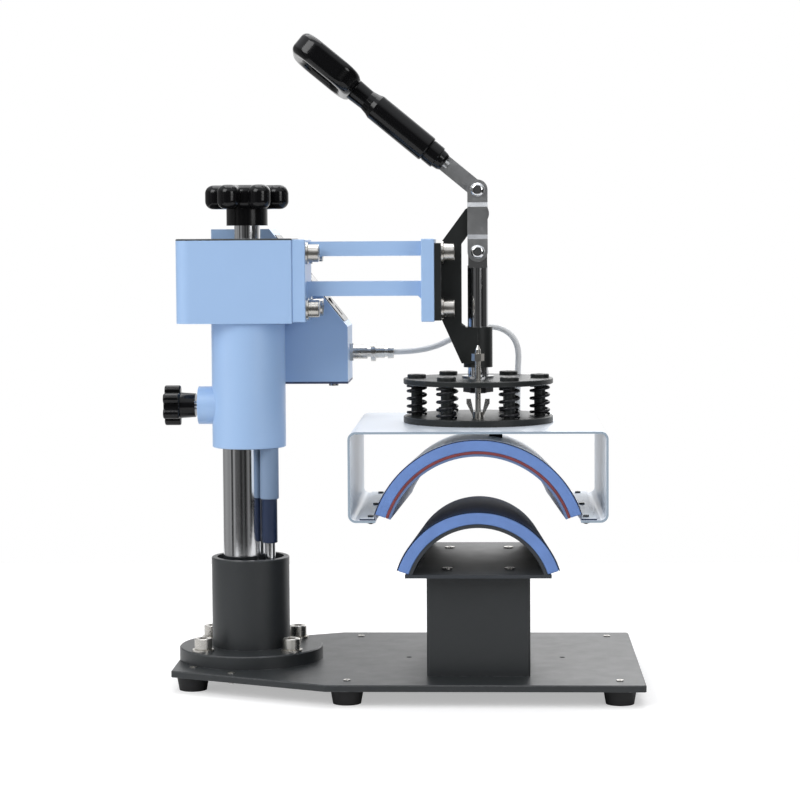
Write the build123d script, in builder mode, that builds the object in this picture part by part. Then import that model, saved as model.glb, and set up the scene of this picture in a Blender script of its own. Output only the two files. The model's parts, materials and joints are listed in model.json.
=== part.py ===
from build123d import *

import os
from math import asin, atan2, cos, pi, radians, sin, sqrt, tan

# Shin guard heat press, in millimetres, +Z up.
# The origin is on the bench, below the middle of the machine's length and depth.
# +X runs from the column to the press axis, and the operator's side of the photograph is -Y.

os.makedirs("parts", exist_ok=True)

# Fits and gaps
RUN_FIT = 0.1  # radial gap of a sliding or turning fit
SEAT_FIT = 0.03  # radial gap of a piece seated for good
PASS_GAP = 0.3  # gap between pieces that pass each other
BOND_GAP = 0.05  # glue line between two bonded layers

# Main places
COLUMN_X = -140.0  # axis of the sleeve and its socket
REACH = 212.0  # from that axis to the press axis
PRESS_X = COLUMN_X + REACH

# Base
FOOT_HEIGHT = 14.0
FOOT_TOP_R = 15.0
FOOT_BOTTOM_R = 12.5
BASE_T = 6.0
BASE_TOP = FOOT_HEIGHT + BASE_T
BASE_DEPTH = 270.0
BASE_NOSE_DEPTH = 138.0
BASE_RIGHT = 218.0
BASE_BEND = -62.0
BASE_LEFT = -206.0
FOOT_INSET = 22.0
BEND_FOOT_INSET = 18.0
FOOT_CLEAR = 5.0  # from the socket's flange to the axis of a left foot
FOOT_TURN = 47.8  # degrees from -X to a left foot, round the sleeve's axis
FOOT_RECESS = 2.0
FOOT_SCREW_SHORT = 4.0
BASE_CORNER_R = 3.0
BASE_EDGE = 0.8
EARTH_SCREW_OVER = 3.0
ACCESSORY_R = 2.6
ACCESSORY_SPACING = 142.0
EARTH_SCREW_AT = (-150.0, -81.0)

# Socket
FLANGE_MARGIN = 2.5  # between the flange and the base plate's edge
FLANGE_R = BASE_NOSE_DEPTH / 2 - FLANGE_MARGIN
SOCKET_EDGE = 1.0
SOCKET_LIP_R = 1.2
FLANGE_T = 12.0
SOCKET_R = 36.0
SOCKET_BORE_R = 31.0
SOCKET_TOP = 115.0
SOCKET_FLOOR = 60.0
SEAT_DEPTH = 26.0  # how far above the bench the column and the rod start
BOLT_INSET = 12.3
BOLT_CIRCLE_R = FLANGE_R - BOLT_INSET
BOLT_SHORT = 0.5  # how far the socket's bolts end above the base plate's lower face
BOLT_TURN = 41.6  # degrees from +X to the first socket bolt

# M10 cap screws
M10_R = 5.0
M10_HEAD_R = 8.0
M10_HEAD_H = 10.0
M10_KEY = 8.0  # across the flats of the socket
WASHER_R = 10.0
WASHER_T = 2.0
M10_NUT_FLATS = 17.0
M10_NUT_H = 7.0

# M5 pan screws
M5_KEY = 3.0
M5_R = 2.5
M5_HEAD_R = 4.6
M5_HEAD_H = 2.2
M5_NUT_FLATS = 8.0
M5_NUT_H = 4.0
M5_OVER = 1.0  # how far a screw reaches past its nut
LOW_HEAD_H = 2.8  # the thicker heads at the pedestal
FLUSH_HEAD_H = 1.0  # the flat heads in the lower platen
DOT_KEY = 2.5
DOT_HEAD_R = 3.2  # the small flat heads on the base plate
DOT_HEAD_H = 0.8

# Column and guide rod
COLUMN_SHIFT = -5.0  # the column stands left of the sleeve's axis, to make room for the rod
COLUMN_R = 20.0
COLUMN_WALL = 4.0
COLUMN_TOP = 388.0
ROD_DX = 19.8
ROD_DY = -16.0
ROD_R = 5.0
ROD_TOP = 205.0
GUIDE_BUSH_R = 7.0
GUIDE_BUSH_BOTTOM = 129.5
GUIDE_BUSH_TOP = 182.0
GUIDE_TUBE_R = 8.6
GUIDE_TUBE_BOTTOM = 170.0
TUBE_ROOF = 3.0
TUBE_END_R = 1.2
BUSH_END_R = 1.0

# Sleeve
SLEEVE_R = 34.0
SLEEVE_BOTTOM = 217.0
BUSH_WALL = 3.0
BUSH_LENGTH = 30.0
BOSS_R = 17.5
BOSS_REACH = 46.3
LOCK_Z = 255.5

# Head box
HEAD_BOTTOM = 332.0
HEAD_TOP = 409.0
HEAD_LEFT = 63.0  # left face, from the sleeve's axis
HEAD_RIGHT = 44.0
HEAD_HALF_DEPTH = 38.0
SHEET = 3.0
HEAD_BEND_R = 14.0
LID_T = 1.6
PLATE_EDGE = 0.6  # chamfer on the edges of plates

# Top knob and height screw
SCREW_R = 8.0
SCREW_COLLAR_R = 12.0
SCREW_BOTTOM = 330.0
SCREW_TIP = 1.0
STEP_FLANGE_R = 15.0
STEP_FLANGE_T = 4.0
KNOB_HUB_BOTTOM = 421.0
KNOB_STAR_BOTTOM = 436.0
KNOB_STAR_TOP = 458.0
KNOB_R = 38.5
KNOB_HUB_R = 19.0
KNOB_LOBES = 6
KNOB_CAP = 6.0
KNOB_LOBE_SHARE = 0.27  # radius of a lobe over radius of its knob
KNOB_WEB_SHARE = 1.7  # width of the web to a lobe over the lobe's radius
KNOB_DISC_SHARE = 0.62
KNOB_EDGE_R = 7.5
KNOB_LAP = 2.0

# Lock knob
LOCK_KNOB_R = 18.5
LOCK_KNOB_OUT = 78.0  # outer face, from the sleeve's axis
LOCK_KNOB_T = 15.0
LOCK_HUB_R = 11.0
LOCK_HUB_END = 49.2
LOCK_STUD_R = 4.0
LOCK_FACE_T = 4.0
LOCK_STUD_TIP = 0.8
LOCK_DISC_SHARE = 0.72
LOCK_EDGE_R = 1.5
LOCK_HUB_TAPER = -4.0  # degrees

# Arm
ARM_FLANGE_T = 12.0
ARM_HALF_DEPTH = 37.0
ARM_BAR_T = 13.4
ARM_BAR_HALF_DEPTH = 14.7
ARM_UPPER_BAR_Z = 399.3
ARM_LOWER_BAR_Z = 362.8
ARM_FLANGE_BOTTOM = 333.0
ARM_FLANGE_TOP = 408.0
ARM_SCREW_Y = 25.0
ARM_SCREW_UPPER_Z = 395.5
ARM_SCREW_LOWER_Z = 345.0

# Toggle frame
FRAME_PLATE_T = 6.0
FRAME_TO_AXIS = 33.0  # from the back plate's face to the press axis
CHEEK_EDGE_DX = 15.0  # where the cheeks' free edge stands, left of the press axis
CHEEK_NECK_DX = 9.0
CHEEK_IN = 10.0
CHEEK_T = 4.0
PIVOT_Z = 430.7
CRANK = 21.45  # lever pivot to link pin, so half the stroke
CHEEK_EYE_R = 9.0
GUIDE_R = 13.3
GUIDE_BOTTOM = 290.0
GUIDE_TOP = 327.0

# Toggle
PIN_R = 4.5
PIN_DOME_R = 6.4
PIN_DOME_H = 3.6
LEVER_HALF_T = 9.5
LEVER_BAR_HALF_T = 4.0
LEVER_BAR_W = 15.0
LEVER_ANGLE = 140.5  # degrees from +X to the lever bar at rest
LEVER_BAR_LENGTH = 52.0
LINK_LENGTH = 56.2
LINK_HALF_W = 9.2
LINK_T = 3.0
LINK_JOG = 2.2  # how far the middle of a link plate stands out from its ends
LINK_BEND_AT = 13.5  # from a pin to the middle of the nearer bend
LINK_BEND_RUN = 4.0
LINK_IN = CHEEK_IN + CHEEK_T + 0.6

# Handle, measured along the lever from the link pin
FERRULE_START = 35.0
COLLAR_START = 46.5
COLLAR_R = 11.0
GRIP_START = 60.0
GRIP_LENGTH = 60.0
GRIP_R = 12.5
NECK_LENGTH = 24.0
LOOP_LENGTH = 68.0
LOOP_WIDTH = 68.0
LOOP_BAR = 15.0
LOOP_THICK = 23.0
LOOP_ROLL = 6.0  # degrees that the loop is screwed round from square

# Plunger and spring head
PLUNGER_R = 9.5
PLUNGER_END_R = 8.0
PLUNGER_TONGUE_R = 8.7
DISC_R = 68.8
UPPER_DISC_TOP = 280.0
UPPER_DISC_T = 5.0
LOWER_DISC_T = 6.0
SPRING_SPACE = 29.5  # between the discs
SPRING_CIRCLE_R = 56.6
SPRING_COUNT = 6
SHOULDER_R = 5.2
SHOULDER_HEAD_R = 8.6
SHOULDER_HEAD_H = 3.5
SHOULDER_KEY = 6.0
COIL_R = 8.2
WIRE_R = 1.3
COIL_END_TURNS = 0.75
COIL_END_GAP = 0.55
COIL_ACTIVE_TURNS = 3.25
HUB_NUT_FLATS = 24.0
HUB_NUT_H = 8.0
HUB_WASHER_R = 15.0
STUD_R = 2.5
STUD_DY = -36.0
STUD_TOP = 311.5
STUD_NUT_Z = 297.5
STUD_NUT_FLATS = 10.0
STUD_NUT_H = 6.5

# Bracket
BRACKET_WIDTH = 228.0
BRACKET_DEPTH = 226.0
BRACKET_T = 2.0
BRACKET_BEND_R = 5.0
BRACKET_FOOT = 24.0
BRACKET_BOTTOM = 159.5

# Curved platens: shells tapered from the front to the back
PLATEN_DEPTH = 220.0
TAPER = 11.0  # how much smaller each radius is at the back
LOWER_CUT_Z = 113.3  # where the lower layers' inner edges end
UPPER_CUT_Z = 162.0
LOWER_AXIS_Z = 93.5
LOWER_PLATE_Z = 110.0
LOWER_PLATE_T = 3.0
LOWER_PLATE_HALF = 64.5
LOWER_SHEET_R = 64.1
PAD_T = 10.4
COVER_T = 1.0
WORK_GAP = 5.5
FACE_T = 2.0
HEATER_T = 2.4
FOAM_T = 9.6
SHELL_T = 0.8
TAB = 12.0
TAB_SCREW_Y = 95.0

# Pedestal
PEDESTAL_WIDTH = 92.0
PEDESTAL_DEPTH = 186.0
PEDESTAL_LIP = 16.0
PEDESTAL_BOLT_SIDE = 9.0
PEDESTAL_BOLT_END = 30.0
PLATEN_SCREW_DX = 28.0
PLATEN_SCREW_DY = 70.0

# Control box
BOX_LEFT = -38.0
BOX_RIGHT = 89.5
BOX_BOTTOM = 272.5
BOX_TOP = 418.0
BOX_DEPTH = 72.0
BOX_SHEET = 2.0
BOX_SLANT_X = 16.5
BOX_SLANT_Z = 326.0
BOX_SCREW_LEFT = 14.0
BOX_SCREW_RIGHT = 30.0
BOX_SCREW_Z = 385.0
BASE_SCREW_INSET = 9.0
BASE_SCREW_LEFT = 8.0
BASE_SCREW_RIGHT = 14.0
INLET_Z = 310.0
INLET_WIDTH = 28.0
INLET_HEIGHT = 21.0
DISPLAY_LENGTH = 42.0
DISPLAY_WIDTH = 50.0
KEY_R = 4.0
KEY_COUNT = 3
ROCKER_LENGTH = 13.0
ROCKER_WIDTH = 20.0
CONNECTOR_Z = 300.5
CONNECTOR_Y = 78.0
CONNECTOR_BODY_R = 6.0
CONNECTOR_NUT_R = 8.2
CONNECTOR_NUT_T = 3.0

# Cable
CABLE_R = 2.8
GROMMET_R = 6.0
CABLE_DX = 37.0  # where it reaches the bracket, right of the press axis

# Worked-out places
column_x = COLUMN_X + COLUMN_SHIFT
rod_x = COLUMN_X + ROD_DX
flange_top = BASE_TOP + FLANGE_T
lower_disc_top = UPPER_DISC_TOP - UPPER_DISC_T - SPRING_SPACE
bracket_top = lower_disc_top - LOWER_DISC_T
link_pin_z = PIVOT_Z + CRANK
plunger_pin_z = link_pin_z - LINK_LENGTH
cover_r = LOWER_SHEET_R + PAD_T + COVER_T + 2 * BOND_GAP
face_r = cover_r + WORK_GAP
upper_axis_z = LOWER_AXIS_Z + 2 * CRANK
arm_left = COLUMN_X + HEAD_RIGHT
frame_right = PRESS_X - FRAME_TO_AXIS
frame_left = frame_right - FRAME_PLATE_T
arm_far_flange = frame_left - ARM_FLANGE_T

left_foot_dx = (FLANGE_R + FOOT_CLEAR) * cos(radians(FOOT_TURN))
left_foot_dy = (FLANGE_R + FOOT_CLEAR) * sin(radians(FOOT_TURN))
feet = [
    (COLUMN_X - left_foot_dx, left_foot_dy),
    (COLUMN_X - left_foot_dx, -left_foot_dy),
    (BASE_BEND + BEND_FOOT_INSET, BASE_DEPTH / 2 - FOOT_INSET),
    (BASE_BEND + BEND_FOOT_INSET, FOOT_INSET - BASE_DEPTH / 2),
    (BASE_RIGHT - FOOT_INSET, BASE_DEPTH / 2 - FOOT_INSET),
    (BASE_RIGHT - FOOT_INSET, FOOT_INSET - BASE_DEPTH / 2),
]
socket_bolts_at = [
    (
        COLUMN_X + BOLT_CIRCLE_R * cos(radians(BOLT_TURN * side + turn)),
        BOLT_CIRCLE_R * sin(radians(BOLT_TURN * side + turn)),
    )
    for side, turn in ((1, 0), (-1, 0), (1, 180), (-1, 180))
]
pedestal_bolts_at = [
    (PRESS_X + sx * (PEDESTAL_WIDTH / 2 - PEDESTAL_BOLT_SIDE), sy * (PEDESTAL_DEPTH / 2 - PEDESTAL_BOLT_END))
    for sx in (-1, 1)
    for sy in (-1, 1)
]
platen_screws_at = [
    (PRESS_X + sx * PLATEN_SCREW_DX, sy * PLATEN_SCREW_DY) for sx in (-1, 1) for sy in (-1, 1)
]
accessory_at = [
    ((BASE_RIGHT + BASE_BEND) / 2 + side * ACCESSORY_SPACING / 2, 0) for side in (-1, 1)
]
spring_at = [
    (
        PRESS_X + SPRING_CIRCLE_R * cos(2 * pi * k / SPRING_COUNT),
        SPRING_CIRCLE_R * sin(2 * pi * k / SPRING_COUNT),
    )
    for k in range(SPRING_COUNT)
]
box_screws_at = [(column_x + dx, BOX_SCREW_Z) for dx in (-BOX_SCREW_LEFT, BOX_SCREW_RIGHT)]


def save(part, label):
    """Name a finished piece and write it out."""
    part.label = label
    export_step(part, "parts/" + label + ".step")


def together(*shapes):
    """Several pieces of hardware as one group of separate solids."""
    return Compound([solid for shape in shapes for solid in shape.solids()])


def cap_screws(plane, points, length, key=M10_KEY, r=M10_R, head_r=M10_HEAD_R, head_h=M10_HEAD_H):
    """Cap screws whose heads stand on the plane and whose shanks run back from it."""
    with BuildPart() as screws:
        with BuildSketch(plane):
            with Locations(*points):
                Circle(head_r)
        extrude(amount=head_h)
        chamfer(screws.edges().filter_by(GeomType.CIRCLE).group_by(lambda e: e.radius)[-1], head_h / 20)
        with BuildSketch(plane):
            with Locations(*points):
                Circle(r)
        extrude(amount=-length)
        with BuildSketch(plane.offset(head_h)):
            with Locations(*points):
                RegularPolygon(key / 2, 6, major_radius=False)
        extrude(amount=-head_h / 2, mode=Mode.SUBTRACT)
    return screws.part


def rings(plane, points, outer, inner, thick):
    """Washers, or any flat rings, lying on the plane."""
    with BuildPart() as flat:
        with BuildSketch(plane):
            with Locations(*points):
                Circle(outer)
                Circle(inner, mode=Mode.SUBTRACT)
        extrude(amount=thick)
    return flat.part


def hex_nuts(plane, points, flats, bore, thick):
    """Hexagon nuts lying on the plane."""
    with BuildPart() as nuts:
        with BuildSketch(plane):
            with Locations(*points):
                RegularPolygon(flats / 2, 6, major_radius=False)
                Circle(bore, mode=Mode.SUBTRACT)
        extrude(amount=thick)
    return nuts.part


def cone_layer(inner, thick, axis_z):
    """The upper half of a tapered ring, from the front radius given to one smaller by the taper."""
    half = PLATEN_DEPTH / 2
    with BuildPart() as layer:
        with BuildSketch(Plane.XY.offset(axis_z)):
            with BuildLine():
                Polyline(
                    (PRESS_X + inner, -half),
                    (PRESS_X + inner + thick, -half),
                    (PRESS_X + inner + thick - TAPER, half),
                    (PRESS_X + inner - TAPER, half),
                    close=True,
                )
            make_face()
        revolve(axis=Axis((PRESS_X, 0, axis_z), (0, -1, 0)), revolution_arc=180)
    return layer.part


def end_planes(inner, axis_z, cut_z):
    """The two planes that end a layer: radial at the front, with the inner edges at one height."""
    rise = cut_z - axis_z
    front = sqrt(inner**2 - rise**2)
    back = sqrt((inner - TAPER) ** 2 - rise**2)
    planes = []
    for side in (-1, 1):
        start = Vector(PRESS_X + side * front, -PLATEN_DEPTH / 2, cut_z)
        end = Vector(PRESS_X + side * back, PLATEN_DEPTH / 2, cut_z)
        outward = Vector(side * front, 0, rise)
        up = outward.cross(end - start)
        if up.Z < 0:
            up = up * -1
        planes.append(Plane(origin=start, x_dir=outward, z_dir=up))
    return planes


def cut_layer(solid, planes):
    """What of a layer lies above both of its end planes."""
    for plane in planes:
        solid = split(solid, bisect_by=plane, keep=Keep.TOP)
    return solid


# Base plate: a house-shaped steel plate with the socket's bolts at its narrow end
with BuildPart() as base_plate:
    with BuildSketch(Plane.XY.offset(FOOT_HEIGHT)):
        with BuildLine():
            Polyline(
                (BASE_LEFT, -BASE_NOSE_DEPTH / 2),
                (BASE_BEND, -BASE_DEPTH / 2),
                (BASE_RIGHT, -BASE_DEPTH / 2),
                (BASE_RIGHT, BASE_DEPTH / 2),
                (BASE_BEND, BASE_DEPTH / 2),
                (BASE_LEFT, BASE_NOSE_DEPTH / 2),
                close=True,
            )
        make_face()
    extrude(amount=BASE_T)
    fillet(base_plate.edges().filter_by(Axis.Z), BASE_CORNER_R)
    chamfer(base_plate.faces().sort_by(Axis.Z)[-1].edges(), BASE_EDGE)
    with BuildSketch(Plane.XY.offset(BASE_TOP)):
        with Locations(*feet):
            Circle(M5_R + RUN_FIT)
        with Locations(*socket_bolts_at):
            Circle(M10_R + SEAT_FIT)
        with Locations(*pedestal_bolts_at):
            Circle(M5_R + RUN_FIT)
        with Locations(*accessory_at):
            Circle(ACCESSORY_R)
        with Locations(EARTH_SCREW_AT):
            Circle(M5_R + RUN_FIT)
    extrude(amount=-BASE_T, mode=Mode.SUBTRACT)
save(base_plate.part, "base_plate")

# Rubber feet: tapered, bored for the screw that holds each one
with BuildPart() as rubber_feet:
    for x, y in feet:
        with BuildSketch(Plane.XZ.offset(-y)):
            with BuildLine():
                Polyline(
                    (x + M5_R, FOOT_RECESS),
                    (x + FOOT_BOTTOM_R - FOOT_RECESS, FOOT_RECESS),
                    (x + FOOT_BOTTOM_R - FOOT_RECESS, 0.0),
                    (x + FOOT_BOTTOM_R, 0.0),
                    (x + FOOT_TOP_R, FOOT_HEIGHT),
                    (x + M5_R, FOOT_HEIGHT),
                    close=True,
                )
            make_face()
        revolve(axis=Axis((x, y, 0), (0, 0, 1)))
save(rubber_feet.part, "rubber_feet")

base_face = Plane.XY.offset(BASE_TOP)
m5_dot = (DOT_KEY, M5_R - SEAT_FIT, DOT_HEAD_R, DOT_HEAD_H)
foot_screws = cap_screws(base_face, feet, BASE_TOP - FOOT_SCREW_SHORT, *m5_dot)
earth_screw = cap_screws(base_face, [EARTH_SCREW_AT], BASE_T + EARTH_SCREW_OVER, *m5_dot)
save(together(foot_screws, earth_screw), "foot_screws")

# Column socket: flange and tube, with seats for the column and the guide rod in its floor
with BuildPart() as column_socket:
    with BuildSketch(Plane.XY.offset(BASE_TOP)):
        with Locations((COLUMN_X, 0)):
            Circle(FLANGE_R)
    extrude(amount=FLANGE_T)
    chamfer(column_socket.faces().sort_by(Axis.Z)[-1].edges(), SOCKET_EDGE)
    with BuildSketch(Plane.XY.offset(flange_top)):
        with Locations((COLUMN_X, 0)):
            Circle(SOCKET_R)
    extrude(amount=SOCKET_TOP - flange_top)
    fillet(column_socket.edges().filter_by(GeomType.CIRCLE).group_by(Axis.Z)[-1], SOCKET_LIP_R)
    with BuildSketch(Plane.XY.offset(SOCKET_TOP)):
        with Locations((COLUMN_X, 0)):
            Circle(SOCKET_BORE_R)
    extrude(amount=SOCKET_FLOOR - SOCKET_TOP, mode=Mode.SUBTRACT)
    with BuildSketch(Plane.XY.offset(SEAT_DEPTH)):
        with Locations((column_x, 0)):
            Circle(COLUMN_R + SEAT_FIT)
        with Locations((rod_x, ROD_DY)):
            Circle(ROD_R + SEAT_FIT)
    extrude(amount=SOCKET_FLOOR - SEAT_DEPTH, mode=Mode.SUBTRACT)
    with BuildSketch(Plane.XY.offset(flange_top)):
        with Locations(*socket_bolts_at):
            Circle(M10_R + RUN_FIT)
    extrude(amount=-FLANGE_T, mode=Mode.SUBTRACT)
save(column_socket.part, "column_socket")

socket_washer_set = rings(
    Plane.XY.offset(flange_top), socket_bolts_at, WASHER_R, M10_R + RUN_FIT, WASHER_T
)
socket_bolt_set = cap_screws(
    Plane.XY.offset(flange_top + WASHER_T),
    socket_bolts_at,
    WASHER_T + FLANGE_T + BASE_T - BOLT_SHORT,
)
save(together(socket_washer_set, socket_bolt_set), "socket_bolts")

# Column: chromed tube standing in the socket
with BuildPart() as column:
    with BuildSketch(Plane.XY.offset(SEAT_DEPTH)):
        with Locations((column_x, 0)):
            Circle(COLUMN_R)
            Circle(COLUMN_R - COLUMN_WALL, mode=Mode.SUBTRACT)
    extrude(amount=COLUMN_TOP - SEAT_DEPTH)
save(column.part, "column")

# Column nut: a flanged plug in the column's top, threaded for the height screw
NUT_FLANGE_T = 8.0
NUT_SPIGOT = 20.0
with BuildPart() as column_nut:
    with BuildSketch(Plane.XY.offset(COLUMN_TOP)):
        with Locations((column_x, 0)):
            Circle(COLUMN_R)
    extrude(amount=NUT_FLANGE_T)
    with BuildSketch(Plane.XY.offset(COLUMN_TOP)):
        with Locations((column_x, 0)):
            Circle(COLUMN_R - COLUMN_WALL - SEAT_FIT)
    extrude(amount=-NUT_SPIGOT)
    with BuildSketch(Plane.XY.offset(COLUMN_TOP + NUT_FLANGE_T)):
        with Locations((COLUMN_X, 0)):
            Circle(SCREW_R + RUN_FIT)
    extrude(amount=-NUT_FLANGE_T - NUT_SPIGOT, mode=Mode.SUBTRACT)
save(column_nut.part, "column_nut")

# Guide rod: keeps the head in line while it goes up and down
with BuildPart() as guide_rod:
    with BuildSketch(Plane.XY.offset(SEAT_DEPTH)):
        with Locations((rod_x, ROD_DY)):
            Circle(ROD_R)
    extrude(amount=ROD_TOP - SEAT_DEPTH)
    chamfer(guide_rod.faces().sort_by(Axis.Z)[-1].edges(), SOCKET_EDGE)
save(guide_rod.part, "guide_rod")

# Guide tube: hangs from the sleeve's lower face and carries the guide bush
with BuildPart() as guide_tube:
    with BuildSketch(Plane.XY.offset(GUIDE_TUBE_BOTTOM)):
        with Locations((rod_x, ROD_DY)):
            Circle(GUIDE_TUBE_R)
    extrude(amount=SLEEVE_BOTTOM - GUIDE_TUBE_BOTTOM)
    fillet(guide_tube.faces().sort_by(Axis.Z)[0].edges(), TUBE_END_R)
    with BuildSketch(Plane.XY.offset(GUIDE_TUBE_BOTTOM)):
        with Locations((rod_x, ROD_DY)):
            Circle(GUIDE_BUSH_R + SEAT_FIT)
    extrude(amount=SLEEVE_BOTTOM - GUIDE_TUBE_BOTTOM - TUBE_ROOF, mode=Mode.SUBTRACT)
save(guide_tube.part, "guide_tube")

with BuildPart() as guide_bush:
    with BuildSketch(Plane.XY.offset(GUIDE_BUSH_BOTTOM)):
        with Locations((rod_x, ROD_DY)):
            Circle(GUIDE_BUSH_R)
    extrude(amount=GUIDE_BUSH_TOP - GUIDE_BUSH_BOTTOM)
    fillet(guide_bush.faces().sort_by(Axis.Z)[0].edges(), BUSH_END_R)
    with BuildSketch(Plane.XY.offset(GUIDE_BUSH_BOTTOM)):
        with Locations((rod_x, ROD_DY)):
            Circle(ROD_R + RUN_FIT)
    extrude(amount=GUIDE_BUSH_TOP - GUIDE_BUSH_BOTTOM, mode=Mode.SUBTRACT)
save(guide_bush.part, "guide_bush")

# Sleeve: slides on the column, with a boss for the lock knob's stud
with BuildPart() as sleeve:
    with BuildSketch(Plane.XY.offset(SLEEVE_BOTTOM)):
        with Locations((COLUMN_X, 0)):
            Circle(SLEEVE_R)
    extrude(amount=HEAD_BOTTOM - SLEEVE_BOTTOM)
    fillet(sleeve.faces().sort_by(Axis.Z)[0].edges(), TUBE_END_R)
    with BuildSketch(Plane.YZ.offset(COLUMN_X - BOSS_REACH)):
        with Locations((0, LOCK_Z)):
            Circle(BOSS_R)
    extrude(amount=BOSS_REACH - SLEEVE_R / 2)
    with BuildSketch(Plane.XY.offset(SLEEVE_BOTTOM)):
        with Locations((column_x, 0)):
            Circle(COLUMN_R + BUSH_WALL + SEAT_FIT)
    extrude(amount=HEAD_BOTTOM - SLEEVE_BOTTOM, mode=Mode.SUBTRACT)
    with BuildSketch(Plane.YZ.offset(COLUMN_X - BOSS_REACH)):
        with Locations((0, LOCK_Z)):
            Circle(LOCK_STUD_R + RUN_FIT)
    extrude(amount=BOSS_REACH, mode=Mode.SUBTRACT)
save(sleeve.part, "sleeve")

# Two bronze bushes, one at each end of the sleeve
with BuildPart() as sleeve_bushes:
    for z in (SLEEVE_BOTTOM, HEAD_BOTTOM - BUSH_LENGTH):
        with BuildSketch(Plane.XY.offset(z)):
            with Locations((column_x, 0)):
                Circle(COLUMN_R + BUSH_WALL)
                Circle(COLUMN_R + RUN_FIT, mode=Mode.SUBTRACT)
        extrude(amount=BUSH_LENGTH)
save(sleeve_bushes.part, "sleeve_bushes")

# Head box: folded steel on top of the sleeve, closed by a cover plate
head_mid_x = COLUMN_X + (HEAD_RIGHT - HEAD_LEFT) / 2
head_length = HEAD_LEFT + HEAD_RIGHT
with BuildPart() as head_box:
    with BuildSketch(Plane.XY.offset(HEAD_BOTTOM)):
        with Locations((head_mid_x, 0)):
            Rectangle(head_length, 2 * HEAD_HALF_DEPTH)
    extrude(amount=HEAD_TOP - LID_T - HEAD_BOTTOM)
    fillet(head_box.edges().filter_by(Axis.Z).group_by(Axis.X)[0], HEAD_BEND_R)
    chamfer(head_box.faces().sort_by(Axis.X)[-1].edges(), PLATE_EDGE)
    with BuildSketch(Plane.XY.offset(HEAD_BOTTOM + SHEET)) as head_room:
        with Locations((head_mid_x, 0)):
            Rectangle(head_length - 2 * SHEET, 2 * HEAD_HALF_DEPTH - 2 * SHEET)
        fillet(head_room.vertices().group_by(Axis.X)[0], HEAD_BEND_R - SHEET)
    extrude(amount=HEAD_TOP - HEAD_BOTTOM, mode=Mode.SUBTRACT)
    with BuildSketch(Plane.XY.offset(HEAD_BOTTOM)):
        with Locations((column_x, 0)):
            Circle(COLUMN_R + BUSH_WALL)
    extrude(amount=SHEET, mode=Mode.SUBTRACT)
    with BuildSketch(Plane.YZ.offset(COLUMN_X + HEAD_RIGHT - SHEET)):
        for z in (ARM_SCREW_LOWER_Z, ARM_SCREW_UPPER_Z):
            with Locations((-ARM_SCREW_Y, z), (ARM_SCREW_Y, z)):
                Circle(M10_R + SEAT_FIT)
    extrude(amount=SHEET, mode=Mode.SUBTRACT)
    with BuildSketch(Plane.XZ.offset(-HEAD_HALF_DEPTH)):
        with Locations(*box_screws_at):
            Circle(M5_R + RUN_FIT)
    extrude(amount=SHEET, mode=Mode.SUBTRACT)
save(head_box.part, "head_box")

with BuildPart() as head_cover:
    with BuildSketch(Plane.XY.offset(HEAD_TOP - LID_T)):
        with Locations((head_mid_x, 0)):
            Rectangle(head_length, 2 * HEAD_HALF_DEPTH)
    extrude(amount=LID_T)
    fillet(head_cover.edges().filter_by(Axis.Z).group_by(Axis.X)[0], HEAD_BEND_R)
    chamfer(head_cover.faces().sort_by(Axis.Z)[-1].edges(), PLATE_EDGE)
    with BuildSketch(Plane.XY.offset(HEAD_TOP)):
        with Locations((COLUMN_X, 0)):
            Circle(SCREW_COLLAR_R + RUN_FIT)
    extrude(amount=-LID_T, mode=Mode.SUBTRACT)
save(head_cover.part, "head_cover")

# Height screw: the threaded part reaches through the column nut, the collar turns in the cover
flange_z = HEAD_TOP - LID_T - PASS_GAP
with BuildPart() as height_screw:
    with BuildSketch(Plane.XZ):
        with BuildLine():
            Polyline(
                (COLUMN_X, SCREW_BOTTOM),
                (COLUMN_X + SCREW_R - SCREW_TIP, SCREW_BOTTOM),
                (COLUMN_X + SCREW_R, SCREW_BOTTOM + SCREW_TIP),
                (COLUMN_X + SCREW_R, flange_z - STEP_FLANGE_T),
                (COLUMN_X + STEP_FLANGE_R, flange_z - STEP_FLANGE_T),
                (COLUMN_X + STEP_FLANGE_R, flange_z),
                (COLUMN_X + SCREW_COLLAR_R, flange_z),
                (COLUMN_X + SCREW_COLLAR_R, KNOB_HUB_BOTTOM),
                (COLUMN_X + SCREW_R, KNOB_HUB_BOTTOM),
                (COLUMN_X + SCREW_R, KNOB_STAR_TOP - KNOB_CAP),
                (COLUMN_X, KNOB_STAR_TOP - KNOB_CAP),
                close=True,
            )
        make_face()
    revolve(axis=Axis((COLUMN_X, 0, 0), (0, 0, 1)))
save(height_screw.part, "height_screw")


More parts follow.
